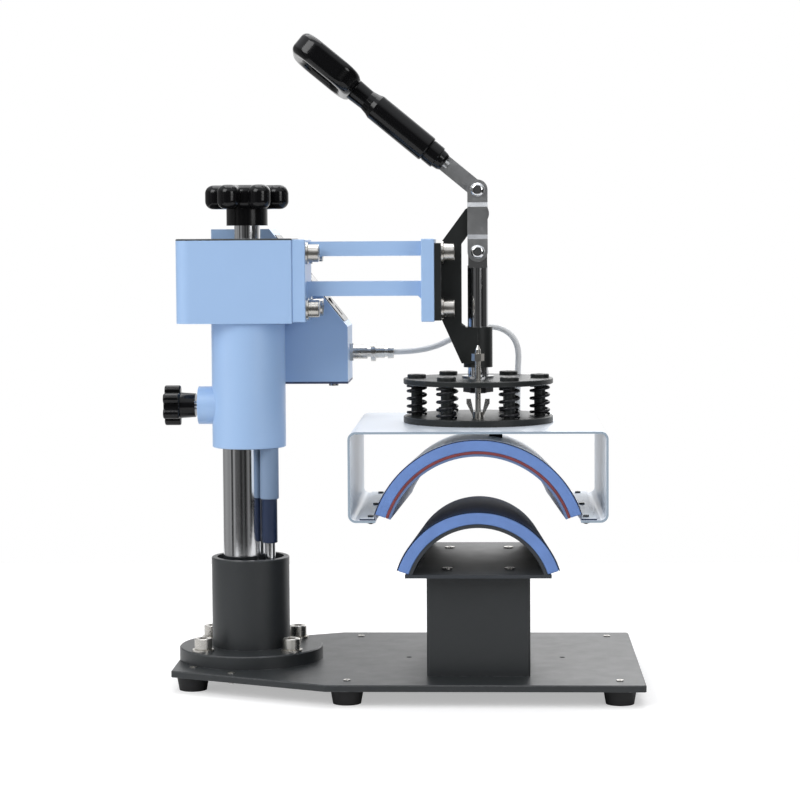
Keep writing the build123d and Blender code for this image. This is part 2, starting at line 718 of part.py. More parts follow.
# Star knob on the height screw
knob_lobe_r = KNOB_R * KNOB_LOBE_SHARE
with BuildPart() as top_knob:
    with BuildSketch(Plane.XY.offset(KNOB_STAR_BOTTOM)):
        with Locations((COLUMN_X, 0)):
            Circle(KNOB_R * KNOB_DISC_SHARE)
            with PolarLocations(KNOB_R - knob_lobe_r, KNOB_LOBES):
                Circle(knob_lobe_r)
                with Locations((-knob_lobe_r, 0)):
                    Rectangle(2 * knob_lobe_r, KNOB_WEB_SHARE * knob_lobe_r)
    extrude(amount=KNOB_STAR_TOP - KNOB_STAR_BOTTOM)
    fillet(top_knob.faces().sort_by(Axis.Z)[-1].edges(), KNOB_EDGE_R)
    fillet(top_knob.faces().sort_by(Axis.Z)[0].edges(), KNOB_EDGE_R)
    with BuildSketch(Plane.XY.offset(KNOB_HUB_BOTTOM)):
        with Locations((COLUMN_X, 0)):
            Circle(KNOB_HUB_R)
    extrude(amount=KNOB_STAR_BOTTOM - KNOB_HUB_BOTTOM + KNOB_LAP)
    with BuildSketch(Plane.XY.offset(KNOB_HUB_BOTTOM)):
        with Locations((COLUMN_X, 0)):
            Circle(SCREW_R + SEAT_FIT)
    extrude(amount=KNOB_STAR_TOP - KNOB_CAP - KNOB_HUB_BOTTOM + SEAT_FIT, mode=Mode.SUBTRACT)
save(top_knob.part, "top_knob")

# Lock knob: its stud goes through the sleeve's boss to just short of the column
stud_end = column_x - COLUMN_R - PASS_GAP
with BuildPart() as lock_stud:
    with BuildSketch(Plane.YZ.offset(COLUMN_X - LOCK_KNOB_OUT + LOCK_FACE_T)):
        with Locations((0, LOCK_Z)):
            Circle(LOCK_STUD_R)
    extrude(amount=stud_end - COLUMN_X + LOCK_KNOB_OUT - LOCK_FACE_T)
    chamfer(lock_stud.faces().sort_by(Axis.X)[-1].edges(), LOCK_STUD_TIP)
save(lock_stud.part, "lock_stud")

lock_lobe_r = LOCK_KNOB_R * KNOB_LOBE_SHARE
with BuildPart() as lock_knob:
    with BuildSketch(Plane.YZ.offset(COLUMN_X - LOCK_KNOB_OUT)):
        with Locations((0, LOCK_Z)):
            Circle(LOCK_KNOB_R * LOCK_DISC_SHARE)
            with PolarLocations(LOCK_KNOB_R - lock_lobe_r, KNOB_LOBES, start_angle=90):
                Circle(lock_lobe_r)
                with Locations((-lock_lobe_r, 0)):
                    Rectangle(2 * lock_lobe_r, KNOB_WEB_SHARE * lock_lobe_r)
    extrude(amount=LOCK_KNOB_T)
    fillet(lock_knob.faces().sort_by(Axis.X)[-1].edges(), LOCK_EDGE_R)
    fillet(lock_knob.faces().sort_by(Axis.X)[0].edges(), LOCK_EDGE_R)
    with BuildSketch(Plane.YZ.offset(COLUMN_X - LOCK_HUB_END)):
        with Locations((0, LOCK_Z)):
            Circle(LOCK_HUB_R)
    extrude(amount=LOCK_HUB_END - LOCK_KNOB_OUT + LOCK_KNOB_T - KNOB_LAP, taper=LOCK_HUB_TAPER)
    with BuildSketch(Plane.YZ.offset(COLUMN_X - LOCK_KNOB_OUT + LOCK_FACE_T)):
        with Locations((0, LOCK_Z)):
            Circle(LOCK_STUD_R + SEAT_FIT)
    extrude(amount=LOCK_KNOB_OUT, mode=Mode.SUBTRACT)
save(lock_knob.part, "lock_knob")

# Arm: two bars between two flanges, with weld beads under the lower bar
flange_mid_z = (ARM_FLANGE_BOTTOM + ARM_FLANGE_TOP) / 2
flange_height = ARM_FLANGE_TOP - ARM_FLANGE_BOTTOM
arm_bar_left = arm_left + ARM_FLANGE_T
arm_screw_points = [
    (side * ARM_SCREW_Y, z) for z in (ARM_SCREW_LOWER_Z, ARM_SCREW_UPPER_Z) for side in (-1, 1)
]
WELD = 3.5
with BuildPart() as arm:
    for x in (arm_left, arm_far_flange):
        with BuildSketch(Plane.YZ.offset(x)):
            with Locations((0, flange_mid_z)):
                Rectangle(2 * ARM_HALF_DEPTH, flange_height)
        extrude(amount=ARM_FLANGE_T)
    chamfer(arm.edges(), PLATE_EDGE)
    for z in (ARM_LOWER_BAR_Z, ARM_UPPER_BAR_Z):
        with BuildSketch(Plane.YZ.offset(arm_bar_left)):
            with Locations((0, z)):
                Rectangle(2 * ARM_BAR_HALF_DEPTH, ARM_BAR_T)
        extrude(amount=arm_far_flange - arm_bar_left)
    weld_z = ARM_LOWER_BAR_Z - ARM_BAR_T / 2
    for x, side in ((arm_bar_left, 1), (arm_far_flange, -1)):
        with BuildSketch(Plane.XZ):
            with BuildLine():
                Polyline((x, weld_z), (x + side * WELD, weld_z), (x, weld_z - WELD), close=True)
            make_face()
        extrude(amount=ARM_BAR_HALF_DEPTH, both=True)
    with BuildSketch(Plane.YZ.offset(arm_left)):
        with Locations(*arm_screw_points):
            Circle(M10_R + RUN_FIT)
    extrude(amount=frame_left - arm_left, mode=Mode.SUBTRACT)
save(arm.part, "arm")

# Cap screws and washers at both flanges: nuts inside the head box, threads in the far flange
arm_screw_planes = (Plane.YZ.offset(arm_bar_left), Plane.YZ.offset(frame_right))
ARM_SCREW_LENGTH = 26.0
far_screw_length = WASHER_T + FRAME_PLATE_T + ARM_FLANGE_T - BOLT_SHORT
arm_screw_set = [
    cap_screws(p.offset(WASHER_T), arm_screw_points, length)
    for p, length in zip(arm_screw_planes, (ARM_SCREW_LENGTH, far_screw_length))
]
arm_washer_set = [
    rings(p, arm_screw_points, WASHER_R, M10_R + RUN_FIT, WASHER_T) for p in arm_screw_planes
]
arm_nut_plane = Plane.YZ.offset(arm_left - SHEET - M10_NUT_H)
arm_nut_set = hex_nuts(arm_nut_plane, arm_screw_points, M10_NUT_FLATS, M10_R + SEAT_FIT, M10_NUT_H)
save(together(*arm_screw_set, *arm_washer_set, arm_nut_set), "arm_screws")

# Toggle frame: back plate, two cheeks and the plunger's guide, welded together
cheek_edge = PRESS_X - CHEEK_EDGE_DX
cheek_neck = PRESS_X - CHEEK_NECK_DX
with BuildPart() as toggle_frame:
    with BuildSketch(Plane.YZ.offset(frame_left)):
        with Locations((0, flange_mid_z - 1.5)):
            Rectangle(2 * ARM_HALF_DEPTH, flange_height - 5)
    extrude(amount=FRAME_PLATE_T)
    for y in (-CHEEK_IN, CHEEK_IN + CHEEK_T):
        with BuildSketch(Plane.XZ.offset(-y)):
            with BuildLine():
                Polyline(
                    (frame_right, ARM_FLANGE_BOTTOM + 1),
                    (frame_right, ARM_FLANGE_TOP - 3),
                    (frame_right + 22, PIVOT_Z + 4),
                    (PRESS_X - 2, PIVOT_Z + CHEEK_EYE_R - 0.4),
                    (PRESS_X, PIVOT_Z),
                    (PRESS_X - 5, PIVOT_Z - CHEEK_EYE_R + 1.8),
                    (cheek_neck, PIVOT_Z - CHEEK_EYE_R - 10.7),
                    (cheek_edge, ARM_FLANGE_TOP - 5),
                    (cheek_edge, GUIDE_TOP + 3),
                    (cheek_edge + 4, GUIDE_TOP),
                    (PRESS_X, GUIDE_TOP),
                    (PRESS_X, GUIDE_BOTTOM + 4),
                    (cheek_edge, GUIDE_BOTTOM + 4),
                    close=True,
                )
            make_face()
            with Locations((PRESS_X, PIVOT_Z)):
                Circle(CHEEK_EYE_R)
        extrude(amount=CHEEK_T)
    with BuildSketch(Plane.XY.offset(GUIDE_BOTTOM)):
        with Locations((PRESS_X, 0)):
            Circle(GUIDE_R)
    extrude(amount=GUIDE_TOP - GUIDE_BOTTOM)
    with BuildSketch(Plane.XY.offset(GUIDE_BOTTOM)):
        with Locations((PRESS_X, 0)):
            Circle(PLUNGER_R + RUN_FIT)
    extrude(amount=GUIDE_TOP - GUIDE_BOTTOM, mode=Mode.SUBTRACT)
    with BuildSketch(Plane.YZ.offset(frame_left)):
        with Locations(*arm_screw_points):
            Circle(M10_R + RUN_FIT)
    extrude(amount=FRAME_PLATE_T, mode=Mode.SUBTRACT)
    with BuildSketch(Plane.XZ.offset(-CHEEK_IN - CHEEK_T)):
        with Locations((PRESS_X, PIVOT_Z)):
            Circle(PIN_R + SEAT_FIT)
    extrude(amount=2 * CHEEK_IN + 2 * CHEEK_T, mode=Mode.SUBTRACT)
save(toggle_frame.part, "toggle_frame")

# Pivot pin: pressed into both cheeks, the lever turns on it
with BuildPart() as pivot_pin:
    with BuildSketch(Plane.XZ.offset(-CHEEK_IN - CHEEK_T - 0.2)):
        with Locations((PRESS_X, PIVOT_Z)):
            Circle(PIN_R)
    extrude(amount=2 * CHEEK_IN + 2 * CHEEK_T + 0.4)
save(pivot_pin.part, "pivot_pin")

# Lever: hub on the pivot, eye on the link pin, flat bar and round tang for the handle
along = Vector(cos(radians(LEVER_ANGLE)), 0, sin(radians(LEVER_ANGLE)))
link_pin_at = Vector(PRESS_X, 0, link_pin_z)
side_plane = Plane(origin=link_pin_at, x_dir=along, z_dir=(0, -1, 0))
lever_axis = Axis(link_pin_at, along)
HUB_R = 10.5
EYE_R = 8.5
TANG_R = 5.0
TANG_END = GRIP_START + 30
with BuildPart() as lever:
    with BuildSketch(Plane.XZ):
        with Locations((PRESS_X, PIVOT_Z)):
            Circle(HUB_R)
        with Locations((PRESS_X, link_pin_z)):
            Circle(EYE_R)
        with Locations((PRESS_X, (PIVOT_Z + link_pin_z) / 2)):
            Rectangle(2 * EYE_R, CRANK)
    extrude(amount=LEVER_HALF_T, both=True)
    with BuildSketch(side_plane):
        with Locations((FERRULE_START / 2 + 2, 0)):
            Rectangle(FERRULE_START + 4, LEVER_BAR_W)
    extrude(amount=LEVER_BAR_HALF_T, both=True)
    with BuildSketch(Plane(origin=link_pin_at + along * FERRULE_START, x_dir=(0, 1, 0), z_dir=along)):
        Circle(TANG_R)
    extrude(amount=TANG_END - FERRULE_START)
    with BuildSketch(Plane.XZ.offset(-LEVER_HALF_T)):
        with Locations((PRESS_X, PIVOT_Z), (PRESS_X, link_pin_z)):
            Circle(PIN_R + RUN_FIT)
    extrude(amount=2 * LEVER_HALF_T, mode=Mode.SUBTRACT)
save(lever.part, "lever")

# Handle: stepped nose, round grip, neck and closed loop, moulded round the lever's tang
grip_end = GRIP_START + GRIP_LENGTH
loop_start = grip_end + NECK_LENGTH
across = Vector(0, 1, 0)
below = along.cross(across)
roll = radians(LOOP_ROLL)
loop_across = across * cos(roll) + below * sin(roll)
loop_plane = Plane(
    origin=link_pin_at + along * (loop_start + LOOP_LENGTH / 2),
    x_dir=along,
    z_dir=along.cross(loop_across),
)
with BuildPart() as handle:
    with BuildSketch(side_plane):
        with BuildLine():
            Polyline(
                (FERRULE_START + 4, 0),
                (FERRULE_START + 4, 7.8),
                (COLLAR_START - 5, 9.0),
                (COLLAR_START - 1, COLLAR_R - 1.5),
                (COLLAR_START, COLLAR_R - 1.5),
                (COLLAR_START, COLLAR_R - 0.6),
                (COLLAR_START + 0.6, COLLAR_R),
                (GRIP_START - 2.4, COLLAR_R),
                (GRIP_START - 2, COLLAR_R - 0.5),
                (GRIP_START - 1.5, COLLAR_R - 0.5),
                (GRIP_START - 1, GRIP_R - 0.6),
                (GRIP_START, GRIP_R),
                (grip_end, GRIP_R),
                (grip_end + 4, 11.0),
                (grip_end + 10, 9.8),
                (loop_start + 4, 10.5),
                (loop_start + 4, 0),
                close=True,
            )
        make_face()
    revolve(axis=lever_axis)
    with BuildPart(mode=Mode.PRIVATE) as loop:
        with BuildSketch(loop_plane):
            RectangleRounded(LOOP_LENGTH, LOOP_WIDTH, 20)
            RectangleRounded(LOOP_LENGTH - 2 * LOOP_BAR, LOOP_WIDTH - 2 * LOOP_BAR, 9, mode=Mode.SUBTRACT)
        extrude(amount=LOOP_THICK / 2, both=True)
        fillet(loop.edges(), 6.5)
    add(loop.part)
    with BuildSketch(Plane(origin=link_pin_at + along * FERRULE_START, x_dir=(0, 1, 0), z_dir=along)):
        Circle(TANG_R + SEAT_FIT)
    extrude(amount=TANG_END - FERRULE_START + SEAT_FIT, mode=Mode.SUBTRACT)
save(handle.part, "handle")

# Link: two joggled plates outside the cheeks, from the link pin down to the plunger's pin
link_low = plunger_pin_z - LINK_HALF_W
link_high = link_pin_z + LINK_HALF_W
lower_bend, upper_bend = [
    (z - LINK_BEND_RUN / 2, z + LINK_BEND_RUN / 2)
    for z in (plunger_pin_z + LINK_BEND_AT, link_pin_z - LINK_BEND_AT)
]
link_face = [
    (LINK_IN, link_low),
    (LINK_IN, lower_bend[0]),
    (LINK_IN + LINK_JOG, lower_bend[1]),
    (LINK_IN + LINK_JOG, upper_bend[0]),
    (LINK_IN, upper_bend[1]),
    (LINK_IN, link_high),
]
with BuildPart() as link_plates:
    for side in (-1, 1):
        near = [(side * y, z) for y, z in link_face]
        far = [(side * (y + LINK_T), z) for y, z in reversed(link_face)]
        with BuildSketch(Plane.YZ.offset(PRESS_X - LINK_HALF_W)):
            with BuildLine():
                Polyline(*near, *far, close=True)
            make_face()
        extrude(amount=2 * LINK_HALF_W)
    with BuildSketch(Plane.XZ):
        with Locations((PRESS_X, (link_pin_z + plunger_pin_z) / 2)):
            SlotCenterToCenter(LINK_LENGTH, 2 * LINK_HALF_W, rotation=90)
        with Locations((PRESS_X, link_pin_z), (PRESS_X, plunger_pin_z)):
            Circle(PIN_R + SEAT_FIT, mode=Mode.SUBTRACT)
    extrude(amount=LINK_IN + LINK_T + LINK_JOG, both=True, mode=Mode.INTERSECT)
save(link_plates.part, "link_plates")

# Link pins: a through pin at the lever's eye and a headed stub at each side of the plunger
pin_reach = LINK_IN + LINK_T
STUB_IN = CHEEK_IN + 0.4
with BuildPart() as link_pins:
    with BuildSketch(Plane.XZ.offset(-pin_reach)):
        with Locations((PRESS_X, link_pin_z)):
            Circle(PIN_R)
    extrude(amount=2 * pin_reach)
    for side in (-1, 1):
        with BuildSketch(Plane.XZ.offset(side * STUB_IN)):
            with Locations((PRESS_X, plunger_pin_z)):
                Circle(PIN_R)
        extrude(amount=side * (pin_reach - STUB_IN))
        for z in (link_pin_z, plunger_pin_z):
            with BuildSketch(Plane.XZ.offset(side * pin_reach)):
                with Locations((PRESS_X, z)):
                    Circle(PIN_DOME_R)
            extrude(amount=side * PIN_DOME_H)
    heads = link_pins.edges().filter_by(lambda e: abs(abs(e.center().Y) - pin_reach - PIN_DOME_H) < 0.01)
    fillet(heads, PIN_DOME_H - 0.3)
SPACER_R = 6.6
spacer_length = LINK_IN - LEVER_HALF_T - 2 * RUN_FIT
spacers = [
    rings(Plane.XZ.offset(start), [(PRESS_X, link_pin_z)], SPACER_R, PIN_R + RUN_FIT, spacer_length)
    for start in (LEVER_HALF_T + RUN_FIT, RUN_FIT - LINK_IN)
]
save(together(link_pins.part, *spacers), "link_pins")

# Plunger: flat-sided tongue and cross pin at the top, shouldered end screwed through the upper disc
upper_disc_bottom = UPPER_DISC_TOP - UPPER_DISC_T
plunger_end = upper_disc_bottom - HUB_NUT_H - 1
washer_top = UPPER_DISC_TOP + WASHER_T
TONGUE_HALF = 9.5
with BuildPart() as plunger:
    with BuildSketch(Plane.XY.offset(washer_top)):
        with Locations((PRESS_X, 0)):
            Circle(PLUNGER_R)
    extrude(amount=plunger_pin_z - PLUNGER_TONGUE_R - 4 - washer_top)
    with BuildSketch(Plane.XZ):
        with Locations((PRESS_X, plunger_pin_z)):
            Circle(PLUNGER_TONGUE_R)
        with Locations((PRESS_X, plunger_pin_z - PLUNGER_TONGUE_R / 2 - 3)):
            Rectangle(2 * PLUNGER_TONGUE_R, PLUNGER_TONGUE_R + 6)
    extrude(amount=TONGUE_HALF, both=True)
    with BuildSketch(Plane.XY.offset(plunger_end)):
        with Locations((PRESS_X, 0)):
            Circle(PLUNGER_END_R)
    extrude(amount=washer_top - plunger_end)
    with BuildSketch(Plane.XZ):
        with Locations((PRESS_X, plunger_pin_z)):
            Circle(PIN_R)
    extrude(amount=TONGUE_HALF + 0.2, both=True)
hub_washer = rings(
    Plane.XY.offset(UPPER_DISC_TOP), [(PRESS_X, 0)], HUB_WASHER_R, PLUNGER_END_R + SEAT_FIT, WASHER_T
)
save(together(plunger.part, hub_washer), "plunger")

hub_nut = hex_nuts(
    Plane.XY.offset(upper_disc_bottom - HUB_NUT_H),
    [(PRESS_X, 0)],
    HUB_NUT_FLATS,
    PLUNGER_END_R + SEAT_FIT,
    HUB_NUT_H,
)
save(hub_nut, "hub_nut")

# Upper disc: carried by the plunger, the shoulder bolts and the levelling stud slide in it
with BuildPart() as upper_disc:
    with BuildSketch(Plane.XY.offset(upper_disc_bottom)):
        with Locations((PRESS_X, 0)):
            Circle(DISC_R)
            Circle(PLUNGER_END_R + SEAT_FIT, mode=Mode.SUBTRACT)
        with Locations(*spring_at):
            Circle(SHOULDER_R + RUN_FIT, mode=Mode.SUBTRACT)
        with Locations((PRESS_X, STUD_DY)):
            Circle(STUD_R + RUN_FIT, mode=Mode.SUBTRACT)
    extrude(amount=UPPER_DISC_T)
    chamfer(upper_disc.edges().filter_by(GeomType.CIRCLE).group_by(lambda e: e.radius)[-1], PLATE_EDGE)
save(upper_disc.part, "upper_disc")

# Lower disc: lies on the bracket, tapped for the shoulder bolts
BOLT_THREAD_R = 4.0
with BuildPart() as lower_disc:
    with BuildSketch(Plane.XY.offset(bracket_top)):
        with Locations((PRESS_X, 0)):
            Circle(DISC_R)
        with Locations(*spring_at):
            Circle(BOLT_THREAD_R + SEAT_FIT, mode=Mode.SUBTRACT)
        with Locations((PRESS_X, STUD_DY)):
            Circle(STUD_R + SEAT_FIT, mode=Mode.SUBTRACT)
    extrude(amount=LOWER_DISC_T)
    chamfer(lower_disc.edges().filter_by(GeomType.CIRCLE).group_by(lambda e: e.radius)[-1], PLATE_EDGE)
save(lower_disc.part, "lower_disc")

# Shoulder bolts: heads on the upper disc, threads through the lower disc and the bracket
BOLT_NUT_H = 4.0
bracket_under = bracket_top - BRACKET_T
bolt_end = bracket_under - BOLT_NUT_H - BOLT_SHORT
with BuildPart() as shoulder_bolts:
    with BuildSketch(Plane.XY.offset(UPPER_DISC_TOP)):
        with Locations(*spring_at):
            Circle(SHOULDER_HEAD_R)
    extrude(amount=SHOULDER_HEAD_H)
    chamfer(shoulder_bolts.faces().group_by(Axis.Z)[-1].edges(), PLATE_EDGE)
    with BuildSketch(Plane.XY.offset(lower_disc_top)):
        with Locations(*spring_at):
            Circle(SHOULDER_R)
    extrude(amount=UPPER_DISC_TOP - lower_disc_top)
    with BuildSketch(Plane.XY.offset(bolt_end)):
        with Locations(*spring_at):
            Circle(BOLT_THREAD_R)
    extrude(amount=lower_disc_top - bolt_end)
    with BuildSketch(Plane.XY.offset(UPPER_DISC_TOP + SHOULDER_HEAD_H)):
        with Locations(*spring_at):
            RegularPolygon(SHOULDER_KEY / 2, 6, major_radius=False)
    extrude(amount=-SHOULDER_HEAD_H / 2, mode=Mode.SUBTRACT)
BOLT_NUT_FLATS = 13.0
bolt_nut_set = hex_nuts(
    Plane.XY.offset(bracket_under - BOLT_NUT_H),
    spring_at,
    BOLT_NUT_FLATS,
    BOLT_THREAD_R + SEAT_FIT,
    BOLT_NUT_H,
)
save(together(shoulder_bolts.part, bolt_nut_set), "shoulder_bolts")


def arc_pair(p1, t1, p2, t2):
    """Two tangent arcs from one point and direction to another, as their three-point forms."""
    v = p2 - p1
    s = t1 + t2
    a = 2 * (1 - t1.dot(t2))
    d = (sqrt(v.dot(s) ** 2 + a * v.dot(v)) - v.dot(s)) / a
    q1 = p1 + t1 * d
    q2 = p2 - t2 * d
    joint = (q1 + q2) * 0.5
    arcs = []
    for start, corner, end in ((p1, q1, joint), (joint, q2, p2)):
        middle = (start + end) * 0.5
        half = (end - start).length / 2
        rise = corner - middle
        lean = atan2(rise.length, half)
        arcs.append((start, middle + rise.normalized() * (half * tan(lean / 2)), end))
    return arcs


# Springs: one right-handed wire round each shoulder bolt, with closer coils at both ends
spring_bottom = lower_disc_top + WIRE_R + BOND_GAP
spring_rise = SPRING_SPACE - 2 * WIRE_R - BOND_GAP - PASS_GAP
end_quarters = round(4 * COIL_END_TURNS) + 1
active_quarters = round(4 * COIL_ACTIVE_TURNS) - 1
end_slope = (2 * WIRE_R + COIL_END_GAP) / 4
active_slope = (spring_rise - (2 * end_quarters - 1) * end_slope) / active_quarters
slopes = [end_slope] * end_quarters + [active_slope] * active_quarters + [end_slope] * end_quarters
nodes = []
height = 0.0
for k, slope in enumerate(slopes):
    if k > 0:
        height = height + (slope + slopes[k - 1]) / 2
    turn = pi / 2 * k
    flow = Vector(-sin(turn), cos(turn), slope / (COIL_R * pi / 2))
    nodes.append((Vector(COIL_R * cos(turn), COIL_R * sin(turn), spring_bottom + height), flow.normalized()))
with BuildPart() as one_spring:
    with BuildLine() as coil:
        for (p1, t1), (p2, t2) in zip(nodes, nodes[1:]):
            for three in arc_pair(p1, t1, p2, t2):
                ThreePointArc(*three)
    with BuildSketch(Plane(origin=nodes[0][0], z_dir=nodes[0][1])):
        Circle(WIRE_R)
    sweep(path=coil.wire())
with BuildPart() as springs:
    with Locations(*[(x, y, 0) for x, y in spring_at]):
        add(one_spring.part)
save(springs.part, "springs")
spring_points = [coil.wire() @ (k / 600) for k in range(601)]
wire_length = coil.wire().length
apart = [
    (spring_points[i] - spring_points[j]).length
    for i in range(601)
    for j in range(i + 1, 601)
    if (j - i) * wire_length / 600 > 4 * WIRE_R
]
print("spring turns", (len(nodes) - 1) / 4, "least gap to itself", round(min(apart) - 2 * WIRE_R, 2))

# Levelling stud with a wing nut on the lower disc and a hexagon nut above the upper disc
STUD_POINT = 4.0
STUD_TAPER = 22.0  # degrees
with BuildPart() as stud:
    with BuildSketch(Plane.XY.offset(bracket_under)):
        with Locations((PRESS_X, STUD_DY)):
            Circle(STUD_R)
    extrude(amount=STUD_TOP - STUD_POINT - bracket_under)
    with BuildSketch(Plane.XY.offset(STUD_TOP - STUD_POINT)):
        with Locations((PRESS_X, STUD_DY)):
            Circle(STUD_R)
    extrude(amount=STUD_POINT, taper=STUD_TAPER)
save(stud.part, "stud")

WING_HUB_R = 5.0
WING_HUB_H = 6.0
WING_REACH = 10.5
WING_T = 2.4
WING_TALL = 17.5
wing_z = lower_disc_top
wing_end = lower_disc_top + WING_TALL
with BuildPart() as wing_nut:
    with BuildSketch(Plane.XZ.offset(-STUD_DY)):
        with BuildLine():
            Polyline(
                (PRESS_X - WING_HUB_R + 1, wing_z + 0.6),
                (PRESS_X - WING_REACH, wing_end - 4),
                (PRESS_X - WING_REACH, wing_end),
                (PRESS_X - WING_REACH + 4, wing_end),
                (PRESS_X - WING_HUB_R + 1, wing_z + WING_HUB_H - 0.4),
                (PRESS_X + WING_HUB_R - 1, wing_z + WING_HUB_H - 0.4),
                (PRESS_X + WING_REACH - 4, wing_end),
                (PRESS_X + WING_REACH, wing_end),
                (PRESS_X + WING_REACH, wing_end - 4),
                (PRESS_X + WING_HUB_R - 1, wing_z + 0.6),
                close=True,
            )
        make_face()
    extrude(amount=WING_T / 2, both=True)
    with BuildSketch(Plane.XY.offset(wing_z)):
        with Locations((PRESS_X, STUD_DY)):
            Circle(WING_HUB_R)
    extrude(amount=WING_HUB_H)
    with BuildSketch(Plane.XY.offset(wing_z)):
        with Locations((PRESS_X, STUD_DY)):
            Circle(STUD_R + SEAT_FIT)
    extrude(amount=WING_TALL, mode=Mode.SUBTRACT)
upper_nut = hex_nuts(
    Plane.XY.offset(STUD_NUT_Z), [(PRESS_X, STUD_DY)], STUD_NUT_FLATS, STUD_R + SEAT_FIT, STUD_NUT_H
)
save(together(wing_nut.part, upper_nut), "stud_nuts")

# Bracket: folded sheet over the upper platen, its feet turned inwards
bracket_height = bracket_top - BRACKET_BOTTOM
tab_screws_at = [
    (PRESS_X + side * (BRACKET_WIDTH / 2 - BRACKET_FOOT + 5), y)
    for side in (-1, 1)
    for y in (-TAB_SCREW_Y, 0, TAB_SCREW_Y)
]
TAB_SCREW_R = 1.5
TAB_HEAD_R = 2.65
TAB_HEAD_H = 1.6
with BuildPart() as bracket:
    with BuildSketch(Plane.XZ):
        with Locations((PRESS_X, BRACKET_BOTTOM + bracket_height / 2)):
            RectangleRounded(BRACKET_WIDTH, bracket_height, BRACKET_BEND_R + BRACKET_T)
            RectangleRounded(
                BRACKET_WIDTH - 2 * BRACKET_T,
                bracket_height - 2 * BRACKET_T,
                BRACKET_BEND_R,
                mode=Mode.SUBTRACT,
            )
        with Locations((PRESS_X, BRACKET_BOTTOM)):
            Rectangle(BRACKET_WIDTH - 2 * BRACKET_FOOT, 3 * BRACKET_T, mode=Mode.SUBTRACT)
    extrude(amount=BRACKET_DEPTH / 2, both=True)
    with BuildSketch(Plane.XY.offset(bracket_under)):
        with Locations(*spring_at):
            Circle(BOLT_THREAD_R + SEAT_FIT)
        with Locations((PRESS_X, STUD_DY)):
            Circle(STUD_R + SEAT_FIT)
        with Locations((PRESS_X + CABLE_DX, CONNECTOR_Y)):
            Circle(GROMMET_R - 1)
    extrude(amount=BRACKET_T, mode=Mode.SUBTRACT)
    with BuildSketch(Plane.XY.offset(BRACKET_BOTTOM)):
        with Locations(*tab_screws_at):
            Circle(TAB_SCREW_R + RUN_FIT)
    extrude(amount=BRACKET_T, mode=Mode.SUBTRACT)
save(bracket.part, "bracket")

# Upper platen: heated face, heater, foam and outer shell, nested from the inside out
heater_r = face_r + FACE_T + BOND_GAP
foam_r = heater_r + HEATER_T + BOND_GAP
shell_r = foam_r + FOAM_T + BOND_GAP
upper_ends = end_planes(face_r, upper_axis_z, UPPER_CUT_Z)
save(cut_layer(cone_layer(face_r, FACE_T, upper_axis_z), upper_ends), "heated_face")
save(cut_layer(cone_layer(heater_r, HEATER_T, upper_axis_z), upper_ends), "heater")
save(cut_layer(cone_layer(foam_r, FOAM_T, upper_axis_z), upper_ends), "upper_foam")

# Outer shell: its edges are turned out to lie on the bracket's feet
foot_top = BRACKET_BOTTOM + BRACKET_T
tab_top = foot_top + 1.2
tab_edge = BRACKET_WIDTH / 2 - BRACKET_FOOT + 14
shell_out = shell_r + SHELL_T
shell_mid = shell_r + SHELL_T / 3


def tab_section(less, side, y):
    """The turned-out edge where the shell's radii are smaller by the given amount."""
    end_turn = asin((UPPER_CUT_Z - upper_axis_z) / (face_r - less))
    mid = shell_mid - less
    out = sqrt((shell_out - less + 0.2) ** 2 - (foot_top + 5.5 - upper_axis_z) ** 2)
    corners = [
        (mid * cos(end_turn + 0.04), upper_axis_z + mid * sin(end_turn + 0.04)),
        (out, foot_top + 5.5),
        (out, tab_top),
        (tab_edge, tab_top),
        (tab_edge, foot_top),
        (out - 1.3, foot_top),
        (mid * cos(end_turn - 0.015), upper_axis_z + mid * sin(end_turn - 0.015)),
    ]
    with BuildSketch(Plane.XZ.offset(-y)) as section:
        with BuildLine():
            Polyline(*[(PRESS_X + side * x, z) for x, z in corners], close=True)
        make_face()
    return section.sketch


shell_part = cut_layer(cone_layer(shell_r, SHELL_T, upper_axis_z), upper_ends)
for side in (-1, 1):
    sections = [
        tab_section(0, side, -PLATEN_DEPTH / 2),
        tab_section(TAPER, side, PLATEN_DEPTH / 2),
    ]
    shell_part = shell_part + loft(sections, ruled=True)
with BuildPart() as tab_holes:
    with BuildSketch(Plane.XY.offset(foot_top)):
        with Locations(*tab_screws_at):
            Circle(TAB_SCREW_R + RUN_FIT)
    extrude(amount=2)
shell_part = shell_part - tab_holes.part
save(shell_part, "upper_shell")

TAB_SCREW_OVER = 0.6
TAB_KEY = 2.0
TAB_NUT_FLATS = 5.5
TAB_NUT_H = 2.4
tab_screw_set = cap_screws(
    Plane.XY.offset(tab_top),
    tab_screws_at,
    tab_top - BRACKET_BOTTOM + TAB_NUT_H + TAB_SCREW_OVER,
    TAB_KEY,
    TAB_SCREW_R,
    TAB_HEAD_R,
    TAB_HEAD_H,
)
tab_nut_set = hex_nuts(
    Plane.XY.offset(BRACKET_BOTTOM - TAB_NUT_H),
    tab_screws_at,
    TAB_NUT_FLATS,
    TAB_SCREW_R + SEAT_FIT,
    TAB_NUT_H,
)
save(together(tab_screw_set, tab_nut_set), "tab_screws")

